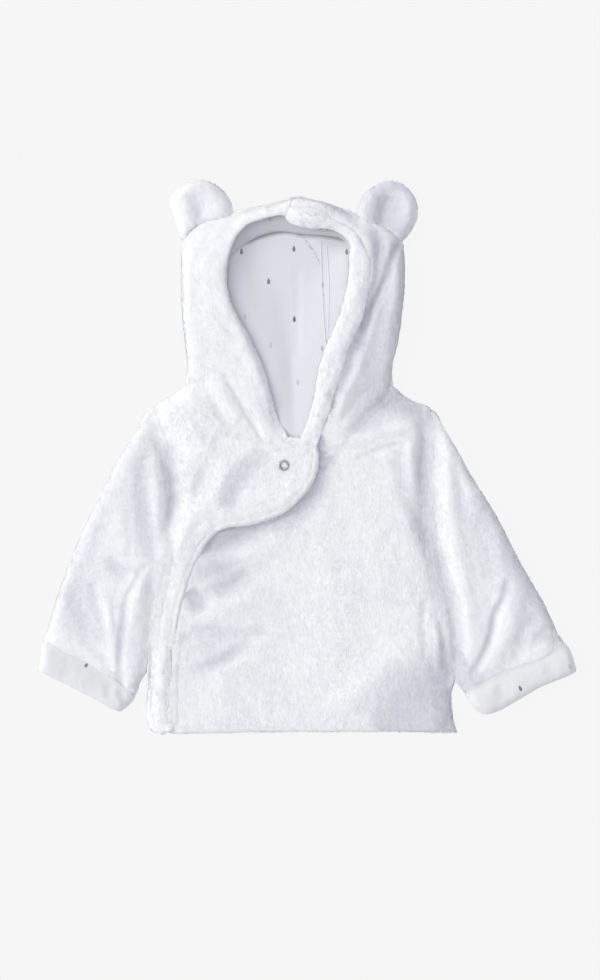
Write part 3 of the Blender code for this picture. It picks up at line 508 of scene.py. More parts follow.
# %% The creases of the wearer's left half
CREASES_LEFT = [
    ([(104, 22), (104, -24), (104, -64), (111, -94), (119, -120), (123, -150), (124, -186)], 14, -2.9),
    ([(93, 26), (88, 6), (87, -18), (93, -44)], 10, 3.0),
    ([(74, 10), (76, -12), (83, -34), (93, -58), (102, -80)], 9, -1.2),
    ([(124, -116), (127, -146), (126, -176)], 9, -2.2),
    ([(62, 50), (78, 40), (98, 36)], 13, -1.8),                                           # shoulder
    ([(98, 30), (66, 20), (42, 12), (18, 10)], 7, 1.4),
    ([(84, 10), (62, 6), (42, -3)], 5, -1.5),
    ([(2, -10), (14, -6), (28, 0)], 7, -1.2),
    ([(66, 62), (54, 50), (40, 34), (26, 18)], 8, 1.8),
    ([(55, 190), (62, 174), (61, 156), (57, 138), (51, 116), (43, 96), (35, 74), (25, 50), (14, 20)],
     8, -4.4),                                                                            # hood
    ([(77, 180), (71, 164), (67, 148), (60, 134), (54, 120), (46, 102)], 6, -4.0),
    ([(68, 180), (62, 160), (58, 142), (51, 122)], 5, 1.4),
    ([(76, 160), (72, 130), (64, 104)], 8, 1.0),
    ([(62, 90), (50, 66), (36, 42)], 14, -1.6),
    ([(22, 206), (36, 200), (46, 192)], 6, -1.8),
    ([(-94, -74), (-78, -78), (-58, -71), (-30, -62)], 12, -3.4),                         # belly
    ([(-100, -112), (-94, -121), (-88, -131)], 12, -2.8),
    ([(-88, -122), (-72, -110), (-50, -100), (-24, -90)], 10, -1.7),
    ([(-96, -98), (-74, -92), (-44, -86)], 9, 0.9),
    ([(-92, -138), (-70, -128), (-44, -122)], 10, 1.1),
    ([(-104, -152), (-84, -144), (-58, -152), (-30, -146)], 9, -1.3),
    ([(-100, -182), (-76, -174), (-56, -164), (-44, -152)], 9, -1.4),
    ([(20, -220), (44, -196), (68, -172), (88, -156)], 15, 1.6),
    ([(64, -232), (122, -174)], 28, -3.6),
    ([(106, -138), (109, -158), (110, -178)], 5, 1.6),
    ([(98, -120), (97, -150), (100, -170)], 6, -1.4),
    ([(20, -30), (30, -60), (26, -96)], 18, -0.8),
    ([(52, -40), (62, -80), (58, -120)], 20, 0.8),
    ([(-20, -120), (-14, -160), (-20, -205)], 20, -0.8),
    ([(112, 6), (116, -24), (119, -60), (127, -92), (140, -122), (145, -150), (136, -176)], 17, 0.9),
    ([(120, 4), (126, -20), (134, -44)], 7, -1.2),                                        # sleeve
    ([(146, -44), (150, -76), (158, -106)], 12, -2.0),
    ([(170, -104), (164, -122), (158, -132), (155, -146), (149, -164), (136, -184)], 6, -2.8),
    ([(177, -98), (178, -118), (172, -136), (164, -154), (154, -178)], 9, 1.3),
    ([(192, -134), (180, -148), (177, -172)], 9, -2.2),
    ([(206, -142), (198, -158), (194, -172)], 8, 0.9)]

# %% The creases of the small pieces
CREASES_EAR_RIGHT = [
    ([(-93, 226), (-88, 208), (-84, 188)], 14, -1.8),
    ([(-104, 218), (-106, 204)], 9, -0.8)]
CREASES_EAR_LEFT = [
    ([(71, 230), (69, 208), (63, 186)], 19, -4.4),
    ([(85, 216), (85, 202)], 7, 1.2)]
CREASES_CUFF_RIGHT = [
    ([(-205, -170), (-200, -186)], 8, -0.8),
    ([(-166, -190), (-168, -204)], 6, -1.0),
    ([(-158, -196), (-150, -210)], 5, -1.4)]
CREASES_CUFF_LEFT = [
    ([(160, -190), (166, -204)], 8, -0.9),
    ([(200, -172), (206, -184)], 8, -0.8)]
CREASES_HOOD_LINING = [
    ([(-9, 156), (-8, 120), (-9, 82)], 5, -0.8),
    ([(-36, 150), (-30, 110), (-26, 60)], 12, 0.6)]

# %% Where shade is painted into the colour, in hollows and on sides turned from the light
# The points (x, y) of the middle line, then the half width and the share of painted shade, from 0 to 1
SHADE_PAINT_RIGHT = [
    ([(-30, 7), (-46, -6), (-57, -18), (-62, -30), (-63, -46)], 17, 0.8),
    ([(-138, -6), (-136, -44), (-133, -84)], 12, 0.5),
    ([(-192, -104), (-186, -134), (-178, -156)], 20, 0.4),
    ([(-166, -84), (-152, -100)], 10, 0.4),
    ([(-150, -122), (-154, -150), (-156, -180), (-158, -204)], 7, 0.5),
    ([(-146, 18), (-172, -40), (-198, -100), (-216, -150)], 14, 0.45),
    ([(-108, 170), (-108, 62)], 14, 0.3),
    ([(-119, 14), (-112, -20), (-113, -60)], 9, 0.55),
    ([(-98, -2), (-100, -38)], 13, 0.35)]
SHADE_PAINT_LEFT = [
    ([(70, -244), (140, -174)], 50, 1.2),
    ([(76, 8), (78, -14), (84, -34), (94, -58), (101, -78)], 9, 0.6),
    ([(-98, -98), (-56, -84)], 13, 0.6),
    ([(4, -8), (26, -2)], 8, 0.7),
    ([(12, 210), (34, 203)], 7, 0.6),
    ([(44, 18), (78, 190)], 30, 0.94),
    ([(56, 192), (63, 172), (59, 142), (51, 112), (41, 88)], 9, 0.9),
    ([(76, 180), (66, 146), (54, 118)], 6, 0.7),
    ([(56, 50), (110, 34)], 18, 0.8),
    ([(140, -30), (202, -152)], 26, 0.7),
    ([(168, -108), (158, -132), (154, -148), (147, -166), (136, -184)], 5, 0.5),
    ([(198, -144), (176, -160)], 12, 0.6),
    ([(103, 14), (104, -24), (103, -64), (111, -94), (120, -120), (125, -150), (126, -184)], 10, 0.9),
    ([(-94, -76), (-70, -68), (-40, -62)], 15, 1.1),
    ([(-40, -62), (-10, -52), (6, -30), (16, -8)], 12, 0.75),
    ([(-98, -111), (-88, -131)], 12, 1.1),
    ([(-92, -84), (-62, -110)], 24, 0.3),
    ([(-100, -142), (-66, -174)], 26, 0.3),
    ([(-78, -114), (-46, -98)], 13, 0.6),
    ([(-96, -148), (-34, -146)], 10, 0.35),
    ([(-98, -182), (-46, -156)], 10, 0.4)]
# Painted shadow on the lining, under the turned-in band at the crown
SHADE_PAINT_LINING = [
    ([(-50, 178), (-40, 185), (-22, 189), (-6, 186)], 3, 0.8),
    ([(-10, 187), (14, 185), (34, 182)], 4, 1.0),
    ([(12, 186), (34, 176)], 14, 0.3)]
# Painted shade on the sides of the ears turned from the light
SHADE_PAINT_EAR_LEFT = [([(64, 238), (64, 174)], 36, 1.15)]
SHADE_PAINT_EAR_RIGHT = [([(-90, 228), (-88, 188)], 20, 0.3)]

# %% From the lists to a relief
LINE_POINTS = 48
FULLNESS = 0.8                      # how full the creases stand, as a share of their heights
WANDER = 1.6                        # how far a crease wanders from its line, in millimetres
WANDER_SIZE = 17 * MM
DEPTH_VARIES = 0.3
DEPTH_SIZE = 23 * MM


def crease_line(points):
    """A smooth line through a crease's points, by Chaikin's corner cutting."""
    line = np.array(points, dtype=float)
    for _ in range(3):
        first = line[:-1] * 0.75 + line[1:] * 0.25
        second = line[:-1] * 0.25 + line[1:] * 0.75
        middle = np.stack([first, second], axis=1).reshape(-1, 2)
        line = np.concatenate([line[:1], middle, line[-1:]])
    share = np.linspace(0.0, len(line) - 1.0, LINE_POINTS)
    at = np.arange(len(line))
    return np.stack([np.interp(share, at, line[:, k]) for k in range(2)], axis=1)


def relief(points, creases):
    """The height that the creases add at each point, in metres."""
    wander = np.stack([soft_noise(points, WANDER_SIZE, seed) for seed in (5, 6)], axis=1)
    plan = points[:, :2] / MM + wander * WANDER
    uneven_depth = 1.0 + DEPTH_VARIES * soft_noise(points, DEPTH_SIZE, 7)
    total = np.zeros(len(points))
    for line_points, half_width, crest in creases:
        line = crease_line(line_points)
        near = within(plan, line, half_width + 1.0).nonzero()[0]
        if len(near) == 0:
            continue
        away = np.linalg.norm(plan[near, None, :] - line[None, :, :], axis=2)
        run_out = np.sin(np.pi * (away.argmin(axis=1) + 0.5) / LINE_POINTS) ** 0.6
        across = np.clip(away.min(axis=1) / half_width, 0.0, 1.0)
        total[near] += crest * run_out * (1.0 - across ** 2) ** 2
    return total * uneven_depth * MM


# %% [markdown]
# ## From a plain wall to cloth
#
# A packed wall is a mesh of loose triangles. The copy is merged and its triangles are joined to
# quads, the sharp rims are creased, and a Subdivision Surface rounds what lies between them. A
# voxel remesh then lays an even net of small faces over it, which a short smoothing relaxes. That
# net is fine enough to carry creases and lumps of pile in its points.

# %% Making an even net of a wall
MERGE = 0.01 * MM
RIM_ANGLE = math.radians(62)
JOIN_FACE_ANGLE = math.radians(40)
JOIN_SHAPE_ANGLE = math.radians(60)
RELAX_ROUNDS = 5


def merged_copy(node):
    """A copy of a packed wall whose triangles hang together."""
    mesh = bmesh.new()
    mesh.from_mesh(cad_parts[node].data)
    bmesh.ops.remove_doubles(mesh, verts=mesh.verts, dist=MERGE)
    return mesh


def rounded_copy(node):
    """A copy of a packed wall in quads, with its rims creased for subdivision."""
    mesh = merged_copy(node)
    bmesh.ops.join_triangles(mesh, faces=mesh.faces, angle_face_threshold=JOIN_FACE_ANGLE,
                             angle_shape_threshold=JOIN_SHAPE_ANGLE)
    crease = mesh.edges.layers.float.new("crease_edge")
    for edge in mesh.edges:
        if len(edge.link_faces) == 2 and edge.calc_face_angle() > RIM_ANGLE:
            edge[crease] = 1.0
    return mesh


def settled(piece):
    """Applies a piece's modifiers, so that its mesh is what shows."""
    shown = piece.evaluated_get(bpy.context.evaluated_depsgraph_get())
    data = bpy.data.meshes.new_from_object(shown)
    piece.modifiers.clear()
    piece.data = data


def soften(piece, rounds):
    """Adds a modifier that evens out a piece's net."""
    softening = piece.modifiers.new("softening", "SMOOTH")
    softening.factor = 0.5
    softening.iterations = rounds


def stands_for(piece, node):
    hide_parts(node)
    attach(piece, "root")
    return piece


def cloth_from(node, name, material, net=None, levels=2):
    """A cloth piece on the form of a packed wall. Without a net it is only subdivided."""
    piece = put(name, data_of(rounded_copy(node), name))
    rounding = piece.modifiers.new("rounding", "SUBSURF")
    rounding.levels = rounding.render_levels = levels
    if net is not None:
        even_net = piece.modifiers.new("even_net", "REMESH")
        even_net.mode = "VOXEL"
        even_net.voxel_size = net * MM
        soften(piece, RELAX_ROUNDS)
    settled(piece)
    piece.data.materials.clear()
    piece.data.materials.append(material)
    piece.data.shade_smooth()
    return stands_for(piece, node)


def thin_cloth_from(node, name, material, step):
    """A thin cloth piece on a packed wall that lies flat, cut into small squares along X and Y."""
    mesh = merged_copy(node)
    bmesh.ops.dissolve_limit(mesh, angle_limit=math.radians(1), verts=mesh.verts, edges=mesh.edges)
    low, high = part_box(node)
    for axis in (0, 1):
        square = Vector((1.0 - axis, float(axis), 0.0))
        for cut in np.arange(low[axis] + step, high[axis], step):
            bmesh.ops.bisect_plane(mesh, geom=mesh.verts[:] + mesh.edges[:] + mesh.faces[:], dist=MERGE,
                                   plane_co=square * float(cut), plane_no=square)
    data = data_of(mesh, name, material)
    data.set_sharp_from_angle(angle=RIM_ANGLE)
    return stands_for(put(name, data), node)


# %% Reading and moving the points of a piece
LUMP_STRETCH = (1.0, 0.55, 1.0)     # the lumps are longer along the body
BROAD_LUMP, FINE_LUMP = 7.0 * MM, 3.2 * MM
LUMP_FREE = (0.4 * MM, 2.0 * MM)    # between these heights over the table the lumps set in


def points_of(piece):
    values = np.zeros(len(piece.data.vertices) * 3, np.float32)
    piece.data.vertices.foreach_get("co", values)
    return values.reshape(-1, 3).astype(float)


def normals_of(piece):
    values = np.zeros(len(piece.data.vertices) * 3, np.float32)
    piece.data.vertex_normals.foreach_get("vector", values)
    return values.reshape(-1, 3).astype(float)


def set_points(piece, points):
    piece.data.vertices.foreach_set("co", points.astype(np.float32).ravel())
    piece.data.update()


def lift(piece, height_at):
    """Moves a piece's points up by what a function of the points gives."""
    points = points_of(piece)
    points[:, 2] += height_at(points)
    set_points(piece, points)


def upper(points, above):
    """1 on the upper wall of a tube and 0 on the wall that rests on the table."""
    if above is None:
        return np.ones(len(points))
    return smooth(points[:, 2], (above - 1.0) * MM, (above + 1.0) * MM)


def lump_pile(piece, broad, fine):
    """Pushes the points out and in by soft lumps, as the tufts of a pile clump together."""
    points = points_of(piece)
    nap = points * LUMP_STRETCH
    lumps = broad * soft_noise(nap, BROAD_LUMP, 11) + fine * soft_noise(nap, FINE_LUMP, 12)
    off_table = smooth(points[:, 2], *LUMP_FREE)
    set_points(piece, points + normals_of(piece) * (lumps * off_table * MM)[:, None])


# %% [markdown]
# ## The cloth pieces
#
# Back, fronts, sleeves, hood halves and ears are plush. The lining in the hood and at the back of
# the neck lies flat and thin, so it only gets a grid of squares. The cuffs are jersey too, and
# thick enough for an even net. The two rolled edges are plush with a few faint drops showing
# through, where the lining turns out round them.

# %% Plush pieces
SMALL_NET = 1.2                     # in millimetres
NET = 1.5
# In a tube only what lies above this height, in millimetres, is moved
ABOVE = {f"{part}_{side}": height for side in ("right", "left")
         for part, height in (("sleeve", 6.0), ("hood", 8.0), ("ear", 4.0), ("cuff", 6.0))}
PLUSH_NETS = {"front_left": NET, "front_right": SMALL_NET, "sleeve_right": NET, "sleeve_left": NET,
              "hood_right": NET, "hood_left": NET, "ear_right": SMALL_NET, "ear_left": SMALL_NET}

back = cloth_from("back", "plush_back", plush, levels=1)
cloth = {}
for node, net in PLUSH_NETS.items():
    cloth[node] = cloth_from(node, f"plush_{node}", plush, net)
    print(cloth[node].name, "faces:", len(cloth[node].data.polygons))

# %% Lining, cuffs and rolled edges
FINE_NET = 1.0
GRID = 1.5 * MM
for node in ("hood_lining_right", "hood_lining_left", "back_lining"):
    cloth[node] = thin_cloth_from(node, f"jersey_{node}", lining, GRID)
for node, material in (("cuff_right", lining_cuff_right), ("cuff_left", lining_cuff_left),
                       ("hood_facing", rolled_plush), ("front_facing", rolled_plush)):
    cloth[node] = cloth_from(node, f"soft_{node}", material, FINE_NET)
for node, piece in cloth.items():
    if node not in PLUSH_NETS:
        print(piece.name, "faces:", len(piece.data.polygons))

# %% [markdown]
# ## Seams that meet
#
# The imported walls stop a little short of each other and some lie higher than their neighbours. A
# sewn seam has neither a gap nor a step: both cloths run down into one soft valley and the pile
# closes over it. So a map of the highest point over each small square of the plan is made for the
# two pieces of a seam, and near the seam both walls are bent to half way between their heights.
# Beside a rolled edge only the wall moves, to about the height of the roll.

# %% Maps of the jacket seen from above
CELL = 2.0 * MM
MAP_MARGIN = 24 * MM
MAP_LOW = np.array(cad_box[0])[:2] - MAP_MARGIN
MAP_SHAPE = np.ceil((np.array(cad_box[1])[:2] + MAP_MARGIN - MAP_LOW) / CELL).astype(int)


def top_map(points):
    """The height of the highest point over each cell, and -1 where there is none."""
    heights = np.full(MAP_SHAPE, -1.0)
    at = ((points[:, :2] - MAP_LOW) / CELL).astype(int)
    np.maximum.at(heights, (at[:, 0], at[:, 1]), points[:, 2])
    return heights


def spread(heights, cells):
    """Gives each cell the highest value within so many cells of it."""
    for _ in range(cells):
        padded = np.pad(heights, 1, mode="edge")
        shifted = [padded[i:i + heights.shape[0], j:j + heights.shape[1]] for i in range(3) for j in range(3)]
        heights = np.max(shifted, axis=0)
    return heights


def middle_of(cells):
    return (cells + 0.5) * CELL + MAP_LOW


# %% Bending two pieces to each other
SEAM_BLEND = 4.0                    # over how many millimetres the heights along a seam are evened out


def along_seam(points, places, values):
    """For each point the evened-out values of the places, and how many millimetres off the nearest is."""
    away = np.linalg.norm(points[:, None, :2] - places[None, :, :], axis=2) / MM
    share = np.exp(-(away / SEAM_BLEND) ** 2) + 1e-12
    return (share * values).sum(axis=1) / share.sum(axis=1), away.min(axis=1)


def meet(first, second, dip, reach, closing, give=0.5):
    """Bends two upper walls to each other along their seam. The first moves by the share that gives way."""
    pair = (cloth[first], cloth[second])
    tops = [top_map(points_of(piece)) for piece in pair]
    seam = (spread(tops[0], 1) > 0) & (spread(tops[1], 1) > 0)
    wide = [spread(top, 2)[seam] for top in tops]
    goal = wide[0] * (1.0 - give) + wide[1] * give - dip * MM
    places = middle_of(np.argwhere(seam))
    for node, piece, top, share_of_step in zip((first, second), pair, wide, (give, 1.0 - give)):
        if share_of_step == 0.0:
            continue
        points, normals = points_of(piece), normals_of(piece)
        near = within(points[:, :2], places, 2.5 * reach * MM).nonzero()[0]
        rise, away = along_seam(points[near], places, goal - top)
        fall = np.exp(-(away / reach) ** 2)
        points[near, 2] += rise * fall * upper(points[near], ABOVE.get(node))
        points[near, :2] += normals[near, :2] * (closing * MM * fall)[:, None]
        set_points(piece, points)


# Beside the side seam the rolled edge lies nearly flat, so it is let down there
STRIP_SINK = 4.6 * MM
STRIP_STEP = (45 * MM, 90 * MM)     # how far below the frame's origin the sinking sets in
lift(cloth["front_facing"], lambda points: -STRIP_SINK * smooth(-points[:, 1], *STRIP_STEP))

# dip, reach and closing in millimetres, and the share that the first piece gives way
SEAMS = [
    ("sleeve_right", "front_right", 0.6, 9.0, 4.0, 0.5),
    ("sleeve_left", "front_left", 1.2, 9.0, 4.6, 0.5),
    ("hood_right", "front_right", -0.2, 12.0, 3.8, 0.5),
    ("hood_left", "front_left", 0.0, 10.0, 3.8, 0.5),
    ("hood_right", "hood_left", 0.0, 6.0, 1.5, 0.5),
    ("ear_right", "hood_right", -0.2, 9.0, 1.8, 0.5),
    ("ear_left", "hood_left", 0.2, 9.0, 1.8, 0.5),
    ("front_facing", "front_right", 0.3, 9.0, 3.6, 0.0),
    ("hood_facing", "hood_left", 0.6, 8.0, 3.2, 0.0),
    ("hood_facing", "hood_right", 0.6, 6.0, 2.4, 0.0),
    ("cuff_right", "sleeve_right", 0.3, 5.0, 2.0, 0.5),
    ("cuff_left", "sleeve_left", 0.3, 5.0, 2.0, 0.5),
    ("hood_lining_right", "hood_lining_left", 0.0, 2.0, 1.6, 0.5),
    ("hood_lining_right", "back_lining", 0.0, 2.0, 1.6, 0.5),
    ("hood_lining_left", "back_lining", 0.0, 2.0, 1.6, 0.5)]
for seam in SEAMS:
    meet(*seam)
# Where two flat linings lap at a seam, one lies a little lower
for node, lower in (("hood_lining_left", 0.08), ("back_lining", 0.16)):
    lift(cloth[node], lambda points: -lower * MM)
print("seams:", len(SEAMS))

# %% [markdown]
# The outline of the jacket is a fold or a turned hem all round, and the plush rolls down to it over
# more than its own thickness. The distance to the nearest empty cell of the map says how much.

# %% Rolling the walls down to the outline
# In millimetres, and what the other pieces have
ROLL_WIDTH = {"ear_right": 8.0, "ear_left": 9.0, "cuff_right": 8.0, "cuff_left": 8.0}
ROLL_DEPTH = {"front_left": 2.0, "front_right": 2.0, "ear_right": 2.5, "ear_left": 3.0}
OTHER_WIDTH, OTHER_DEPTH = 13.0, 3.5


def distance_map(wanted, sources):
    """How far each wanted cell of the map is from the nearest source cell, in metres."""
    places = middle_of(np.argwhere(sources))
    tree = KDTree(len(places))
    for i, place in enumerate(places):
        tree.insert((*place, 0.0), i)
    tree.balance()
    distance = np.zeros(MAP_SHAPE)
    for cell in np.argwhere(wanted):
        distance[tuple(cell)] = tree.find((*middle_of(cell), 0.0))[2]
    return distance


def distance_to_outline(pieces):
    """How far each cell with cloth is from the nearest cell with none, in metres."""
    covered = top_map(np.concatenate([points_of(piece) for piece in pieces])) > 0
    covered = spread(covered.astype(float), 1) > 0
    rim = covered & (spread(1.0 - covered.astype(float), 1) > 0)
    return distance_map(covered, rim)


def look_up(grid, points):
    """Reads a map at points, evened out between its cells."""
    at = np.clip((points[:, :2] - MAP_LOW) / CELL - 0.5, 0, MAP_SHAPE - 1.001)
    corner = at.astype(int)
    t = at - corner
    x, y = corner.T
    low = grid[x, y] * (1 - t[:, 0]) + grid[x + 1, y] * t[:, 0]
    high = grid[x, y + 1] * (1 - t[:, 0]) + grid[x + 1, y + 1] * t[:, 0]
    return low * (1 - t[:, 1]) + high * t[:, 1]


def roll_down(node):
    """Lets a piece down towards the outline of the jacket."""
    width, depth = ROLL_WIDTH.get(node, OTHER_WIDTH) * MM, ROLL_DEPTH.get(node, OTHER_DEPTH)

    def sink(points):
        near_outline = np.clip(1.0 - look_up(to_outline, points) / width, 0.0, 1.0)
        return -(near_outline ** 2 * depth * MM * upper(points, ABOVE.get(node)))
    lift(cloth[node], sink)


to_outline = distance_to_outline([*cloth.values(), back])
CUFFS, ROLLS = ("cuff_right", "cuff_left"), ("hood_facing", "front_facing")
for node in (*PLUSH_NETS, *CUFFS):
    roll_down(node)
print("furthest from the outline in mm:", round(float(to_outline.max()) / MM))

# %% [markdown]
# ## Rolls and corners
#
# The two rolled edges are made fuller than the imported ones. The hood's roll is fullest at the
# crown and sinks away at its upper end. The corner of the flap is drawn up over the lower end of
# that roll, and a few more corners are drawn along the table to where the photograph shows them.

# %% The full end of the roll at the crown
CROWN_FULL = Vector((2.0, 199.0)) * MM
CROWN_REACH = 17.0 * MM
CROWN_SWELL = 1.6 * MM
ROLL_END = np.array((-13.0, 210.0)) * MM
ROLL_END_REACH = 9.0 * MM
ROLL_END_SINK = 6.0 * MM


def near_to(points, middle, reach):
    """1 at a point of the plan, and less further away."""
    return np.exp(-(np.linalg.norm(points[:, :2] - np.array(middle), axis=1) / reach) ** 2)


points, normals = points_of(cloth["hood_facing"]), normals_of(cloth["hood_facing"])
swelling = CROWN_SWELL * near_to(points, CROWN_FULL, CROWN_REACH)
set_points(cloth["hood_facing"], points + normals * swelling[:, None] * (1.0, 1.0, 0.5))
lift(cloth["hood_facing"], lambda points: -ROLL_END_SINK * near_to(points, ROLL_END, ROLL_END_REACH))

# %% Corners that are drawn along the table
# The piece, the middle of the pull, how far it reaches, and how far it draws, in millimetres
PULLS = [
    ("front_right", (-8.0, 7.0), 17.0, (0.0, 5.0)),           # the corner of the flap
    ("front_right", (-118.0, -233.0), 9.0, (0.0, 3.0)),       # the corner of the hem
    ("front_facing", (-8.0, 7.0), 17.0, (0.0, 5.0)),
    ("front_facing", (-118.0, -233.0), 9.0, (0.0, 3.0)),
    ("hood_right", (-52.0, 187.0), 18.0, (-2.6, 3.2)),        # the upper corner of the opening
    ("hood_right", (-20.0, 9.0), 8.0, (-3.0, 4.5))]           # the lower end of the hood
for node, middle, reach, pull in PULLS:
    points = points_of(cloth[node])
    drawn = near_to(points, np.array(middle) * MM, reach * MM)
    points[:, :2] += np.array(pull) * MM * drawn[:, None]
    set_points(cloth[node], points)

# %% Fuller rolls
for node, fuller in (("hood_facing", 1.4), ("front_facing", 1.7)):
    points, normals = points_of(cloth[node]), normals_of(cloth[node])
    set_points(cloth[node], points + normals * (1.0, 1.0, 0.3) * fuller * MM)
# Beside the opening the hood's roll spreads outwards, over the hood
ROLL_SPREAD = 4.2 * MM
SPREAD_SETS_IN, SPREAD_RUNS_OUT = (26 * MM, 76 * MM), (158 * MM, 190 * MM)
points, normals = points_of(cloth["hood_facing"]), normals_of(cloth["hood_facing"])
beside = smooth(points[:, 1], *SPREAD_SETS_IN) * (1.0 - smooth(points[:, 1], *SPREAD_RUNS_OUT))
points[:, 0] += ROLL_SPREAD * beside * smooth(normals[:, 0], -0.5, 0.9)
set_points(cloth["hood_facing"], points)

# %% [markdown]
# A roll is a round tube, and beside a wall a round tube leaves a groove. On the flap the real edge
# runs on into the cloth, so the inner side of the roll is lifted to just below the top of the flap.
# The lower end of the hood's roll comes up to the flap's corner in the same way, and along the
# other seams the lower cloth comes up to the higher one.

# %% Filling the groove beside a neighbour
RISES_FACING = -0.2                 # what faces down more than this doesn't rise


def rise_to(piece, other, below, reach, above=None):
    """Lifts a piece's upper side to a little below its neighbour's top, and less further away."""
    points, normals = points_of(piece), normals_of(piece)
    neighbour = top_map(points_of(other))
    shared = (neighbour > 0) & (spread(top_map(points), 1) > 0)
    places = middle_of(np.argwhere(shared))
    near = within(points[:, :2], places, reach * MM)
    near = (near & (normals[:, 2] > RISES_FACING)).nonzero()[0]
    height, away = along_seam(points[near], places, spread(neighbour, 1)[shared])
    fall = 1.0 - smooth(away, 0.0, reach)
    fall *= upper(points[near], above)
    points[near, 2] += fall * np.maximum(height - below * MM - points[near, 2], 0.0)
    set_points(piece, points)


# The piece that rises, the one it rises to, how far below its top and over what reach, in millimetres
RISES = [
    ("front_right", "hood_right", 0.1, 10.0),
    ("hood_right", "front_right", 0.1, 10.0),
    ("front_left", "hood_left", 0.1, 8.0),
    ("hood_left", "front_left", 0.1, 8.0),
    ("front_left", "sleeve_left", 0.1, 8.0),
    ("sleeve_left", "front_left", 0.1, 8.0),
    ("front_right", "sleeve_right", 0.1, 6.0),
    ("sleeve_right", "front_right", 0.1, 6.0),
    ("cuff_right", "sleeve_right", 0.2, 5.0),
    ("sleeve_right", "cuff_right", 1.0, 5.0),
    ("cuff_left", "sleeve_left", 0.2, 5.0),
    ("sleeve_left", "cuff_left", 1.0, 5.0),
    ("hood_facing", "hood_left", 0.9, 3.0),
    ("hood_facing", "hood_right", 0.4, 3.0),
    ("front_facing", "front_right", 0.15, 4.5),
    ("hood_facing", "front_right", 0.8, 16.0),
    ("hood_facing", "front_facing", 0.8, 14.0)]
for node, other, below, reach in RISES:
    rise_to(cloth[node], cloth[other], below, reach, ABOVE.get(node))

# %% Evening out the nets that the seams have stretched
EVEN_ROUNDS = 4
for node in (*PLUSH_NETS, *ROLLS, *CUFFS):
    soften(cloth[node], EVEN_ROUNDS)
    settled(cloth[node])

# %% [markdown]
# The pile closes over a seam, so from above hardly a line shows there. The two walls are drawn to
# one evened-out height along the seam, and a soft bridge of plush lies over it. Its sides run down
# into the cloth, so that its edges hardly show.

# %% Closing the pile over the seams
BRIDGE_REACH = 9.0                  # in millimetres, to each side of the seam
BRIDGE_LIFT = 0.3 * MM
BRIDGE_DIP = 1.3 * MM
BRIDGE_THICK = 0.8 * MM
BRIDGE_END = (3.0 * MM, 8.0 * MM)   # it runs out over this distance from the edge of its two pieces


def evened(heights, sigma):
    """Evens out a map of heights over its cells with cloth."""
    weight = (heights > 0).astype(float)
    total = heights * weight
    cells = int(3 * sigma / CELL) + 1
    for axis in (0, 1):
        parts = [(math.exp(-(k * CELL / sigma) ** 2 / 2), k) for k in range(-cells, cells + 1)]
        total = sum(share * np.roll(total, k, axis) for share, k in parts)
        weight = sum(share * np.roll(weight, k, axis) for share, k in parts)
    return total / np.maximum(weight, 1e-9)


def bridge_over(cells, height):
    """A thin closed sheet over cells of the map, at the heights of a map."""
    mesh = bmesh.new()
    verts = {}
    for cell in np.argwhere(cells):
        verts[tuple(cell)] = mesh.verts.new((*middle_of(cell), height[tuple(cell)]))
    for i, j in verts:
        corners = [verts.get(at) for at in ((i, j), (i + 1, j), (i + 1, j + 1), (i, j + 1))]
        if None not in corners:
            mesh.faces.new(corners)
    bmesh.ops.delete(mesh, geom=[vert for vert in mesh.verts if not vert.link_faces], context="VERTS")
    bmesh.ops.solidify(mesh, geom=mesh.faces[:], thickness=BRIDGE_THICK)
    bmesh.ops.recalc_face_normals(mesh, faces=mesh.faces)
    for face in mesh.faces:
        face.smooth = True
    return mesh


def close_over(first, second, low_y, high_y, pull_reach, width):
    """Draws two pieces to one height along their seam and bridges it, as part of the first piece."""
    pair = [top_map(points_of(cloth[node])) for node in (first, second)]
    top = np.maximum(*pair)
    shown = [(one > other) & (one > 0) for one, other in (pair, pair[::-1])]
    seam = (spread(shown[0].astype(float), 1) > 0) & (spread(shown[1].astype(float), 1) > 0)
    rows = middle_of(np.stack(np.indices(MAP_SHAPE), axis=-1))[:, :, 1]
    seam &= (rows > low_y * MM) & (rows < high_y * MM)
    near = spread(seam.astype(float), int(2.5 * BRIDGE_REACH * MM / CELL)) > 0
    from_seam = np.where(near, distance_map(near, seam), 1.0)
    from_edge = distance_map(near & (top > 0), top <= 0)
    goal = evened(top, width * MM)
    for node in (first, second):
        points, normals = points_of(cloth[node]), normals_of(cloth[node])
        pull = np.exp(-(look_up(from_seam, points) / (pull_reach * MM)) ** 2)
        pull *= smooth(normals[:, 2], 0.0, 0.4) * upper(points, ABOVE.get(node))
        pull *= smooth(look_up(from_edge, points), *BRIDGE_END)
        points[:, 2] += pull * (look_up(goal, points) - points[:, 2])
        set_points(cloth[node], points)
    share = 1.0 - smooth(from_seam, 1.0 * MM, BRIDGE_REACH * MM)
    share *= smooth(from_edge, *BRIDGE_END)
    height = goal + BRIDGE_LIFT * share - BRIDGE_DIP * (1.0 - share)
    bridge = bridge_over(near & (from_seam < BRIDGE_REACH * MM) & (from_edge > BRIDGE_END[0]), height)
    added = len(bridge.faces)
    bridge.from_mesh(cloth[first].data)
    bridge.to_mesh(cloth[first].data)
    bridge.free()
    return added


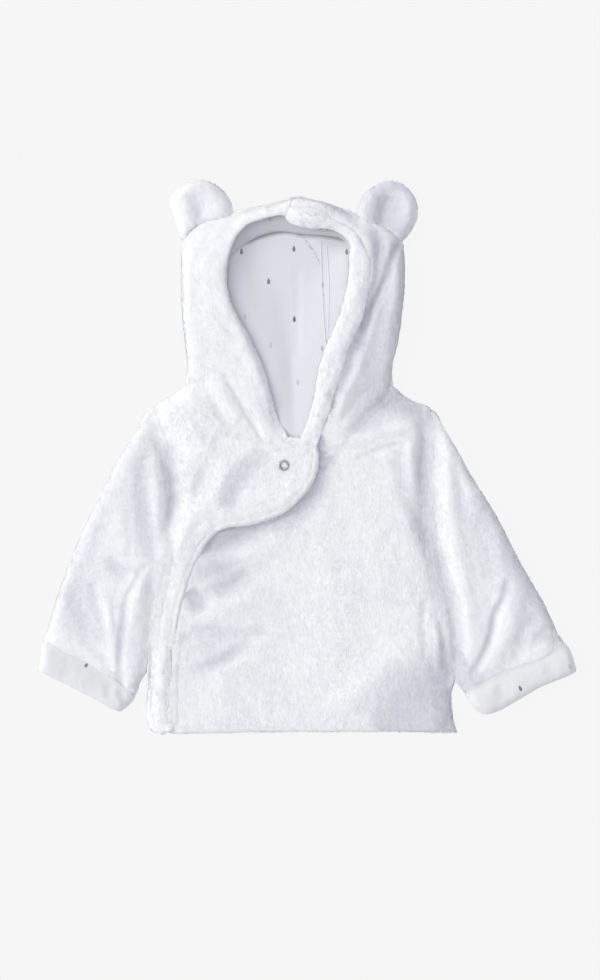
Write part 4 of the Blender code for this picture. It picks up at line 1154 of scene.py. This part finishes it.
# Two pieces, the stretch of their seam that closes, as its lowest and highest y, how far from the
# seam the walls are drawn to the evened-out height and how widely that is evened out, all in millimetres
CLOSED = [
    ("sleeve_right", "front_right", -158, 80, 8.0, 4.6),
    ("front_left", "sleeve_left", -150, 80, 7.5, 4.6),
    ("hood_right", "front_right", -30, 110, 5.0, 3.4),
    ("front_left", "hood_left", 4, 110, 5.0, 3.4),
    ("front_facing", "front_right", -222, 30, 6.0, 4.0),
    ("front_left", "front_facing", -222, -150, 6.5, 4.4),
    ("hood_facing", "front_facing", -20, 30, 5.0, 3.4),
    ("hood_facing", "front_right", -20, 30, 5.0, 3.4)]
for first, second, *stretch in CLOSED:
    print("bridge over", first, second, "faces:", close_over(first, second, *stretch))

# %% [markdown]
# The lining is sewn to the edge of the hood, so it comes up to that edge all round and lies flat
# only further in.

# %% Lifting the lining to the edge of the hood
EDGE_HEIGHT = 9.0 * MM                  # what is higher than this lies over the lining
LINED = ("hood_lining_right", "hood_lining_left", "back_lining")
LIFT_AT_NECK, LIFT_AT_CROWN = 6.0 * MM, 2.5 * MM
REACH_AT_NECK, REACH_AT_CROWN = 25.0 * MM, 8.0 * MM
REACH_UNDER = 12.0 * MM                 # how far under the wall the lining stays up
CROWN_STEP = (125 * MM, 178 * MM)       # between these y the neck's values turn to the crown's
over_lining = [points_of(cloth[node]) for node in ("hood_right", "hood_left", "hood_facing", "front_right")]
hooded = top_map(np.concatenate(over_lining)) > EDGE_HEIGHT
lined = top_map(np.concatenate([points_of(cloth[node]) for node in LINED])) > 0
from_edge = distance_map(~hooded, hooded)
from_opening = distance_map(hooded, lined & ~hooded)


def lining_height(points):
    """How far the lining comes up at each point, to meet the edge of the hood."""
    at_crown = smooth(points[:, 1], *CROWN_STEP)
    height = LIFT_AT_NECK + (LIFT_AT_CROWN - LIFT_AT_NECK) * at_crown
    reach = REACH_AT_NECK + (REACH_AT_CROWN - REACH_AT_NECK) * at_crown
    height *= np.exp(-(look_up(from_edge, points) / reach) ** 2)
    height *= np.exp(-(look_up(from_opening, points) / REACH_UNDER) ** 2)
    return height


for node in LINED:
    lift(cloth[node], lining_height)

# %% [markdown]
# The front that runs on under the flap is pressed down there.

# %% Letting down the front under the flap
UNDER_SINK = 2.2 * MM
UNDER_STEP = (2 * MM, 9.0 * MM)     # how far under the flap the sinking sets in
flap = top_map(np.concatenate([points_of(cloth[node]) for node in ("front_right", "front_facing")])) > 0
under_flap = distance_map(flap, ~flap)
lift(cloth["front_left"],
     lambda points: -UNDER_SINK * smooth(look_up(under_flap, points), *UNDER_STEP))

# %% [markdown]
# At the crown the roll is pinched into a small full fold. It has no wall of its own in the frame,
# because it is only a soft bulge of the roll, so it is a bent and flattened ball that lies on it.

# %% The fold that bulges out of the crown
CROWN_FOLD_AT = (1.5, 199.6, 13.4)      # in millimetres
CROWN_FOLD_HALF = (21.0, 9.8, 6.2)
CROWN_FOLD_TURN = math.radians(-18)
CROWN_FOLD_BEND = 0.22                  # how far it sways to its sides, as a share of its half width
FOLD_FILLET = 1.6                       # how far below the fold's top its surroundings come up
FOLD_FILLET_REACH = 9.0
FOLD_LUMPS = (0.5, 0.15)


def added(name, mesh, material, slot):
    """A piece of its own that rides on the jacket."""
    piece = put(name, data_of(mesh, name, material))
    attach(piece, "root")
    return piece


fold_mesh = bmesh.new()
bmesh.ops.create_uvsphere(fold_mesh, u_segments=72, v_segments=40, radius=1.0)
cosine, sine = math.cos(CROWN_FOLD_TURN), math.sin(CROWN_FOLD_TURN)
for vert in fold_mesh.verts:
    x, y, z = vert.co
    y += CROWN_FOLD_BEND * math.sin(x * 1.6)
    along, across, up = x * CROWN_FOLD_HALF[0], y * CROWN_FOLD_HALF[1], z * CROWN_FOLD_HALF[2]
    vert.co.x = (CROWN_FOLD_AT[0] + along * cosine - across * sine) * MM
    vert.co.y = (CROWN_FOLD_AT[1] + along * sine + across * cosine) * MM
    vert.co.z = (CROWN_FOLD_AT[2] + up) * MM
crown_fold = added("crown_fold", fold_mesh, plush, "fleece")
for node in ("hood_right", "hood_left", "hood_facing"):
    rise_to(cloth[node], crown_fold, FOLD_FILLET, FOLD_FILLET_REACH, ABOVE.get(node))
lump_pile(crown_fold, *FOLD_LUMPS)

# %% [markdown]
# Under the crown the front of the hood turns in, and its lining shows as a narrow band above the
# rest. It is lofted between two lines: the outer one runs under the roll, and the inner one is the
# free edge, which hangs a little lower. Two sewn lines run down the lining of the hood.

# %% The turned-in band and the sewn lines of the lining
BAND_OUTER = [(-76, 158), (-66, 184), (-46, 202), (-20, 208), (4, 206), (26, 200), (42, 186), (44, 172)]
BAND_INNER = [(-71, 156), (-56, 176), (-38, 186), (-22, 189), (-6, 186), (16, 185), (30, 183), (36, 172)]
BAND_TOP = 12.6                     # these heights and thicknesses are in millimetres
BAND_HANG = 7.8
BAND_THICK = 1.0
BAND_ROWS = 9
LINING_TOP = 5.3
ROPE_SIDES = 6
ROPE_FLATNESS = 0.6
SEAM_MIDDLE = ([(11, 180), (12, 150), (13, 120), (15, 96), (16, 70)], 0.7)     # a line and its half width
SEAM_SIDE = ([(16, 176), (18, 150), (18, 128), (17, 104)], 0.5)


def skin(name, rings, material):
    """A closed skin over rings of points in millimetres, as a piece of the lining."""
    mesh = bmesh.new()
    rings = [[mesh.verts.new([value * MM for value in point]) for point in ring] for ring in rings]
    for ring, after in zip(rings, rings[1:]):
        for k in range(len(ring)):
            following = (k + 1) % len(ring)
            mesh.faces.new((ring[k], ring[following], after[following], after[k]))
    mesh.faces.new(rings[0])
    mesh.faces.new(rings[-1][::-1])
    bmesh.ops.recalc_face_normals(mesh, faces=mesh.faces)
    return added(name, mesh, material, "lining")


def band_ring(away, near):
    """The band's section, which arches from its high outer line down to its lower inner one."""
    over, under = [], []
    for row in range(BAND_ROWS):
        share = row / (BAND_ROWS - 1)
        x, y = away * (1.0 - share) + near * share
        height = BAND_TOP + (BAND_HANG - BAND_TOP) * share ** 2
        over.append((x, y, height))
        under.append((x, y, height - BAND_THICK))
    return over + under[::-1]


def sewn_line(name, points, radius):
    """A thin rope of cloth along a line, for a seam that stands up a little."""
    line = crease_line(points)
    rings = []
    for i, (x, y) in enumerate(line):
        along = line[min(i + 1, len(line) - 1)] - line[max(i - 1, 0)]
        side = np.array((along[1], -along[0])) / np.linalg.norm(along)
        ring = []
        for k in range(ROPE_SIDES):
            turn = math.tau * k / ROPE_SIDES
            across = side * radius * math.cos(turn)
            ring.append((x + across[0], y + across[1], LINING_TOP + ROPE_FLATNESS * radius * math.sin(turn)))
        rings.append(ring)
    return skin(name, rings, lining)


band_lines = zip(crease_line(BAND_OUTER), crease_line(BAND_INNER))
crown_band = skin("crown_band", [band_ring(away, near) for away, near in band_lines], lining_turned_painted_shade)
seam_middle = sewn_line("seam_middle", *SEAM_MIDDLE)
seam_side = sewn_line("seam_side", *SEAM_SIDE)
for piece in (seam_middle, seam_side):
    lift(piece, lining_height)
print("band and seams faces:", [len(piece.data.polygons) for piece in (crown_band, seam_middle, seam_side)])

# %% [markdown]
# ## Creases and lumps
#
# The creases run on over the seams, so the large pieces of one half share a list. A crease moves
# the whole wall of a front, but only the upper wall of a sleeve or of the hood, because the wall
# underneath rests on the table. A share of painted shade, darker and bluer in hollows and on sides
# turned from the light, is kept on the points for the colour.

# %% Creases
CREASES = {
    **dict.fromkeys(("front_right", "front_facing", "sleeve_right", "hood_right"), CREASES_RIGHT),
    **dict.fromkeys(("front_left", "sleeve_left", "hood_left"), CREASES_LEFT),
    **dict.fromkeys(("hood_lining_right", "hood_lining_left"), CREASES_HOOD_LINING),
    "ear_right": CREASES_EAR_RIGHT, "ear_left": CREASES_EAR_LEFT,
    "cuff_right": CREASES_CUFF_RIGHT, "cuff_left": CREASES_CUFF_LEFT}
for node, creases in CREASES.items():
    lift(cloth[node], lambda points: FULLNESS * relief(points, creases) * upper(points, ABOVE.get(node)))

# %% Painted shade and lumps
SHADE_PAINT_TABLES = {
    **dict.fromkeys(("front_right", "sleeve_right"), SHADE_PAINT_RIGHT),
    **dict.fromkeys(("front_left", "sleeve_left", "hood_left"), SHADE_PAINT_LEFT),
    **dict.fromkeys(("hood_lining_right", "hood_lining_left"), SHADE_PAINT_LINING),
    "ear_left": SHADE_PAINT_EAR_LEFT, "ear_right": SHADE_PAINT_EAR_RIGHT}
# How far broad and fine lumps stand out, in millimetres, and what the other plush has
LUMPS = {"hood_facing": (0.8, 0.2), "front_facing": (0.6, 0.15), **dict.fromkeys(CUFFS, (0.3, 0.1))}
OTHER_LUMPS = (0.20, 0.08)
plush_pieces = {node: cloth[node] for node in (*PLUSH_NETS, *ROLLS)}
plush_pieces["crown_fold"] = crown_fold


def store(piece, name, values):
    """Keeps a number or a direction on each point, for the materials and the pile."""
    kind, field = ("FLOAT", "value") if values.ndim == 1 else ("FLOAT_VECTOR", "vector")
    stored = piece.data.attributes.new(name, kind, "POINT")
    stored.data.foreach_set(field, values.astype(np.float32).ravel())


for node, piece in cloth.items():
    # The share of painted shade from the tables, kept on the points for the colour
    share = relief(points_of(piece), SHADE_PAINT_TABLES.get(node, [])) / MM
    store(piece, "painted_shade", np.clip(share, 0.0, 1.0))
    if node in plush_pieces or node in LUMPS:
        lump_pile(piece, *LUMPS.get(node, OTHER_LUMPS))

# %% [markdown]
# ## The pile
#
# The pile is made of modelled tufts: thin three-sided spikes that Geometry Nodes scatters over all
# the plush but the back panel. They are realized, so the edge of the jacket is soft too. Each tuft
# leans with the nap, which runs from the hood to the hem, down each sleeve and up each ear, and
# swirls a little. Tufts grow only where nothing lies on the cloth, which a ray along the normal
# finds out.

# %% Where the pile grows, and how it leans
COVER_REACH = 6.0 * MM
COVER_START = 0.7 * MM
FACING_DOWN = -0.5                  # no pile grows where the cloth faces down more than this
TABLE_REACH = 1.2 * MM              # nor this close to the table
SWIRLS = ((0.7, 9 * MM, 21), (0.5, 4 * MM, 22))     # how much, over which size, and the seed
STAND = 0.45                        # how far a tuft stands up, beside how far it leans
STAND_VARIES = 0.2
NAP_BODY = (0.05, -1.0)
NAP = {"sleeve_right": (-0.42, -0.9), "sleeve_left": (0.5, -0.86), "hood_right": (-0.15, -1.0),
       "hood_left": (0.2, -1.0), "ear_right": (-0.1, 1.0), "ear_left": (0.1, 1.0), "crown_fold": (1.0, -0.2)}
everything = bmesh.new()
for piece in (*cloth.values(), back, crown_fold):
    everything.from_mesh(piece.data)
cover = BVHTree.FromBMesh(everything)
everything.free()


def comb(piece, nap):
    """Stores on each point whether pile grows there and which way it leans."""
    points, normals = points_of(piece), normals_of(piece)
    free = np.zeros(len(points))
    for i, (point, normal) in enumerate(zip(points, normals)):
        if normal[2] < FACING_DOWN or point[2] < TABLE_REACH:
            continue
        direction = Vector(normal)
        hit = cover.ray_cast(Vector(point) + direction * COVER_START, direction, COVER_REACH)
        free[i] = 1.0 if hit[0] is None else 0.0
    swirl = sum(share * soft_noise(points, size, seed) for share, size, seed in SWIRLS)
    angle = math.atan2(nap[1], nap[0]) + swirl
    along = np.stack([np.cos(angle), np.sin(angle), np.zeros(len(points))], axis=1)
    along -= normals * (along * normals).sum(axis=1)[:, None]
    stand = STAND + STAND_VARIES * soft_noise(points, 5 * MM, 23)
    lean = normals * stand[:, None] + along
    store(piece, "free", free)
    store(piece, "lean", lean / np.linalg.norm(lean, axis=1)[:, None])
    return float(free.mean())


for node, piece in plush_pieces.items():
    print(node, "open to the air:", round(comb(piece, NAP.get(node, NAP_BODY)), 2))

# %% One tuft, and the nodes that scatter it
TUFT_LENGTH = 1.9 * MM
TUFT_RADIUS = 0.38 * MM
TUFT_ROOT = 0.3 * MM                # how deep a tuft starts under the cloth
SHORTEST, LONGEST = 0.6, 1.25       # the tufts' lengths, as shares of that length
WILD = (0.3, 0.3, 0.1)              # how far a tuft strays from the nap

tuft_mesh = bmesh.new()
bmesh.ops.create_cone(tuft_mesh, cap_ends=True, segments=3, radius1=TUFT_RADIUS, radius2=0.0,
                      depth=TUFT_LENGTH)
bmesh.ops.translate(tuft_mesh, verts=tuft_mesh.verts, vec=(0.0, 0.0, TUFT_LENGTH / 2 - TUFT_ROOT))
bmesh.ops.remove_doubles(tuft_mesh, verts=tuft_mesh.verts, dist=MERGE)
tuft = bpy.data.objects.new("tuft", data_of(tuft_mesh, "tuft"))


def scatter_nodes():
    """Scatters the tuft over a mesh where its points say that pile grows, and keeps only the tufts."""
    group = bpy.data.node_groups.new("scatter_tufts", "GeometryNodeTree")
    for name, in_out, kind in (("Geometry", "INPUT", "Geometry"), ("Density", "INPUT", "Float"),
                               ("Geometry", "OUTPUT", "Geometry")):
        group.interface.new_socket(name, in_out=in_out, socket_type=f"NodeSocket{kind}")
    tree = Tree(group)
    start, end = group.nodes.new("NodeGroupInput"), group.nodes.new("NodeGroupOutput")

    def stored(name, kind):
        return tree.add("GeometryNodeInputNamedAttribute", {"Name": name}, data_type=kind).outputs[0]

    density = tree.math("MULTIPLY", stored("free", "FLOAT"), start.outputs["Density"])
    scattered = tree.add("GeometryNodeDistributePointsOnFaces",
                         {"Mesh": start.outputs["Geometry"], "Density": density, "Seed": 3})
    normal = {"Geometry": scattered.outputs["Points"], "Name": "cloth_normal",
              "Value": scattered.outputs["Normal"]}
    roots = tree.add("GeometryNodeStoreNamedAttribute", normal, data_type="FLOAT_VECTOR", domain="POINT")
    wild = tree.add("FunctionNodeRandomValue", {0: tuple(-value for value in WILD), 1: WILD, "Seed": 8},
                    data_type="FLOAT_VECTOR").outputs[0]
    lean = stored("lean", "FLOAT_VECTOR")
    direction = tree.add("ShaderNodeVectorMath", {0: lean, 1: wild}, operation="ADD")
    turned = tree.add("FunctionNodeAlignRotationToVector", {"Vector": direction.outputs[0]}, axis="Z")
    lengths = {2: SHORTEST, 3: LONGEST, "Seed": 5}
    length = tree.add("FunctionNodeRandomValue", lengths, data_type="FLOAT").outputs[1]
    size = tree.add("ShaderNodeCombineXYZ", {"X": 1.0, "Y": 1.0, "Z": length})
    source = tree.add("GeometryNodeObjectInfo", {"Object": tuft})
    placed = tree.add("GeometryNodeInstanceOnPoints", {
        "Points": roots.outputs[0], "Instance": source.outputs["Geometry"],
        "Rotation": turned.outputs[0], "Scale": size.outputs[0]})
    real = tree.add("GeometryNodeRealizeInstances", {"Geometry": placed.outputs["Instances"]})
    smoothed = {"Mesh": real.outputs["Geometry"], "Custom Normal": stored("cloth_normal", "FLOAT_VECTOR")}
    lit = tree.add("GeometryNodeSetMeshNormal", smoothed, mode="FREE", domain="POINT")
    tree.link(lit.outputs["Mesh"], end.inputs["Geometry"])
    return group


scatter = scatter_nodes()

# %% Growing the pile
TUFTS_PER_M2 = 0.74e6
pile_material = make_plush("plush_pile", 0.0)
pile_of = {}


def triangles_of(piece):
    return sum(len(face.vertices) - 2 for face in piece.data.polygons)


def forget(piece, names):
    """Removes what was stored on a piece's points and is no longer used."""
    for name in names:
        stored = piece.data.attributes.get(name)
        if stored is not None:
            piece.data.attributes.remove(stored)


for node, piece in plush_pieces.items():
    pile = put(f"pile_{node}", piece.data.copy())
    growing = pile.modifiers.new("growing", "NODES")
    growing.node_group = scatter
    growing[scatter.interface.items_tree["Density"].identifier] = TUFTS_PER_M2
    settled(pile)
    pile.visible_shadow = False
    forget(pile, ("free", "lean", "cloth_normal"))
    pile.data.materials.clear()
    pile.data.materials.append(pile_material)
    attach(pile, "root")
    pile_of[node] = pile
    print(pile.name, "triangles:", triangles_of(pile))
for piece in plush_pieces.values():
    forget(piece, ("free", "lean"))
bpy.data.objects.remove(tuft)

# %% [markdown]
# ## The ring snap
#
# A ring snap is a thin metal ring whose prongs bite through the cloth from the other side, and its
# open middle shows the cloth. The ring is a rounded profile spun once round, and the small dents
# where the prongs turn over are pressed into its upper rim.

# %% Ring snap
SNAP_PRONGS = 6
SNAP_STEPS = 96
SNAP_PROFILE = 14                   # points once round the ring's section
SNAP_OPENING = 0.55                 # the open middle, as a share of the whole
DENT_DEPTH = 0.5                    # as a share of the ring's half height
DENT_NARROWNESS = 6
DENT_OUTSIDE = 0.3                  # how much of a dent is left on the outer side
METAL_LIGHT, METAL_DARK = (0.60, 0.60, 0.62, 1), (0.34, 0.34, 0.36, 1)
METAL_WEAR = 1.2                    # in millimetres
METAL_ROUGH = (0.28, 0.45)
METAL_BUMP = 0.05 * MM
snap_low, snap_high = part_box("snap")
snap_middle = (snap_low + snap_high) / 2
snap_outer = (snap_high.x - snap_low.x) / 2
snap_height = (snap_high.z - snap_low.z) / 2
snap_inner = snap_outer * SNAP_OPENING
snap_tube = (snap_outer - snap_inner) / 2

snap_mesh = bmesh.new()
bmesh.ops.create_circle(snap_mesh, cap_ends=False, segments=SNAP_PROFILE, radius=1.0)
for vert in snap_mesh.verts:
    vert.co = Vector((snap_outer - snap_tube + vert.co.x * snap_tube, 0.0, vert.co.y * snap_height))
bmesh.ops.spin(snap_mesh, geom=snap_mesh.verts[:] + snap_mesh.edges[:], cent=(0, 0, 0), axis=(0, 0, 1),
               angle=2 * math.pi, steps=SNAP_STEPS, use_merge=True)
bmesh.ops.remove_doubles(snap_mesh, verts=snap_mesh.verts, dist=MERGE)
bmesh.ops.recalc_face_normals(snap_mesh, faces=snap_mesh.faces)
for vert in snap_mesh.verts:
    turn = math.atan2(vert.co.y, vert.co.x)
    dent = max(0.0, math.cos(turn * SNAP_PRONGS)) ** DENT_NARROWNESS
    inward = 1.0 - smooth(math.hypot(vert.co.x, vert.co.y), snap_inner, snap_outer - snap_tube)
    if vert.co.z > 0.0:
        vert.co.z -= DENT_DEPTH * snap_height * dent * (DENT_OUTSIDE + (1.0 - DENT_OUTSIDE) * inward)
    vert.co += snap_middle

metal, recipe, shader = material_with_shader("snap_metal")
set_sockets(shader, {"Metallic": 1.0})
worn = recipe.group(uneven, {"Place": recipe.place(), "Size": METAL_WEAR, "Light": METAL_LIGHT,
                             "Shade": METAL_DARK})
recipe.link(worn["Colour"], shader.inputs["Base Color"])
recipe.link(recipe.ramp(worn["Height"], 0.4, 1.1, *METAL_ROUGH), shader.inputs["Roughness"])
recipe.link(recipe.bump(worn["Height"], 0.15, METAL_BUMP), shader.inputs["Normal"])
ring_snap = put("ring_snap", data_of(snap_mesh, "ring_snap", metal))
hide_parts("snap")
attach(ring_snap, "root")
print("ring snap faces:", len(ring_snap.data.polygons))

# %% [markdown]
# ## Resting on the table
#
# The roll to the outline and the roots of the lowest tufts dip a little under the table. What
# rests on a table is pressed flat by it, so no point is left below it.

# %% Nothing below the table
resting = [*cloth.values(), back, crown_fold, *pile_of.values()]
for piece in resting:
    points = points_of(piece)
    points[:, 2] = np.maximum(points[:, 2], 0.0)
    set_points(piece, points)
triangles = [triangles_of(piece) for piece in resting]
print("pieces:", len(resting), "triangles:", sum(triangles), "most in one:", max(triangles))

# %% [markdown]
# ## What each piece was cut to
#
# Every cloth piece without a filling is a sheet that a maker cut flat. The sizes are the width and
# the length of the cut, and its area where it isn't a rectangle. A sleeve, a cuff or a hood half is
# stated all round.

# %% The cut of the cloth
# Node, width and length of the cut and its area, in metres, and what the piece rests on
CUTS = [
    ("back", 0.265, 0.290, 0.0660, ()),
    ("front_left", 0.250, 0.292, 0.0530, ("back",)),
    ("front_right", 0.142, 0.296, 0.0135, ("front_left",)),
    ("sleeve_right", 0.190, 0.240, 0.0280, ()),
    ("sleeve_left", 0.190, 0.240, 0.0265, ()),
    ("hood_right", 0.200, 0.175, 0.0290, ()),
    ("hood_left", 0.150, 0.175, 0.0185, ()),
    ("hood_lining_right", 0.120, 0.168, 0.0173, ("hood_right",)),
    ("hood_lining_left", 0.087, 0.168, 0.0097, ("hood_left",)),
    ("back_lining", 0.079, 0.057, 0.0041, ("back",)),
    ("cuff_right", 0.150, 0.030, 0.0032, ("sleeve_right",)),
    ("cuff_left", 0.155, 0.032, 0.0036, ("sleeve_left",))]
cut_pieces = {**cloth, "back": back}


def area_of(piece):
    """Half of a closed wall's surface, which is the cloth's own area."""
    return sum(face.area for face in piece.data.polygons) / 2


for node, width, length, area, below in CUTS:
    piece = cut_pieces[node]
    print(piece.name, "cut:", area, "measured:", round(area_of(piece), 5))

# %% The pieces with a filling
FILLINGS = {"ear_right": 0.4, "ear_left": 0.4, "hood_facing": 0.7, "front_facing": 0.7}
for node, fill in FILLINGS.items():
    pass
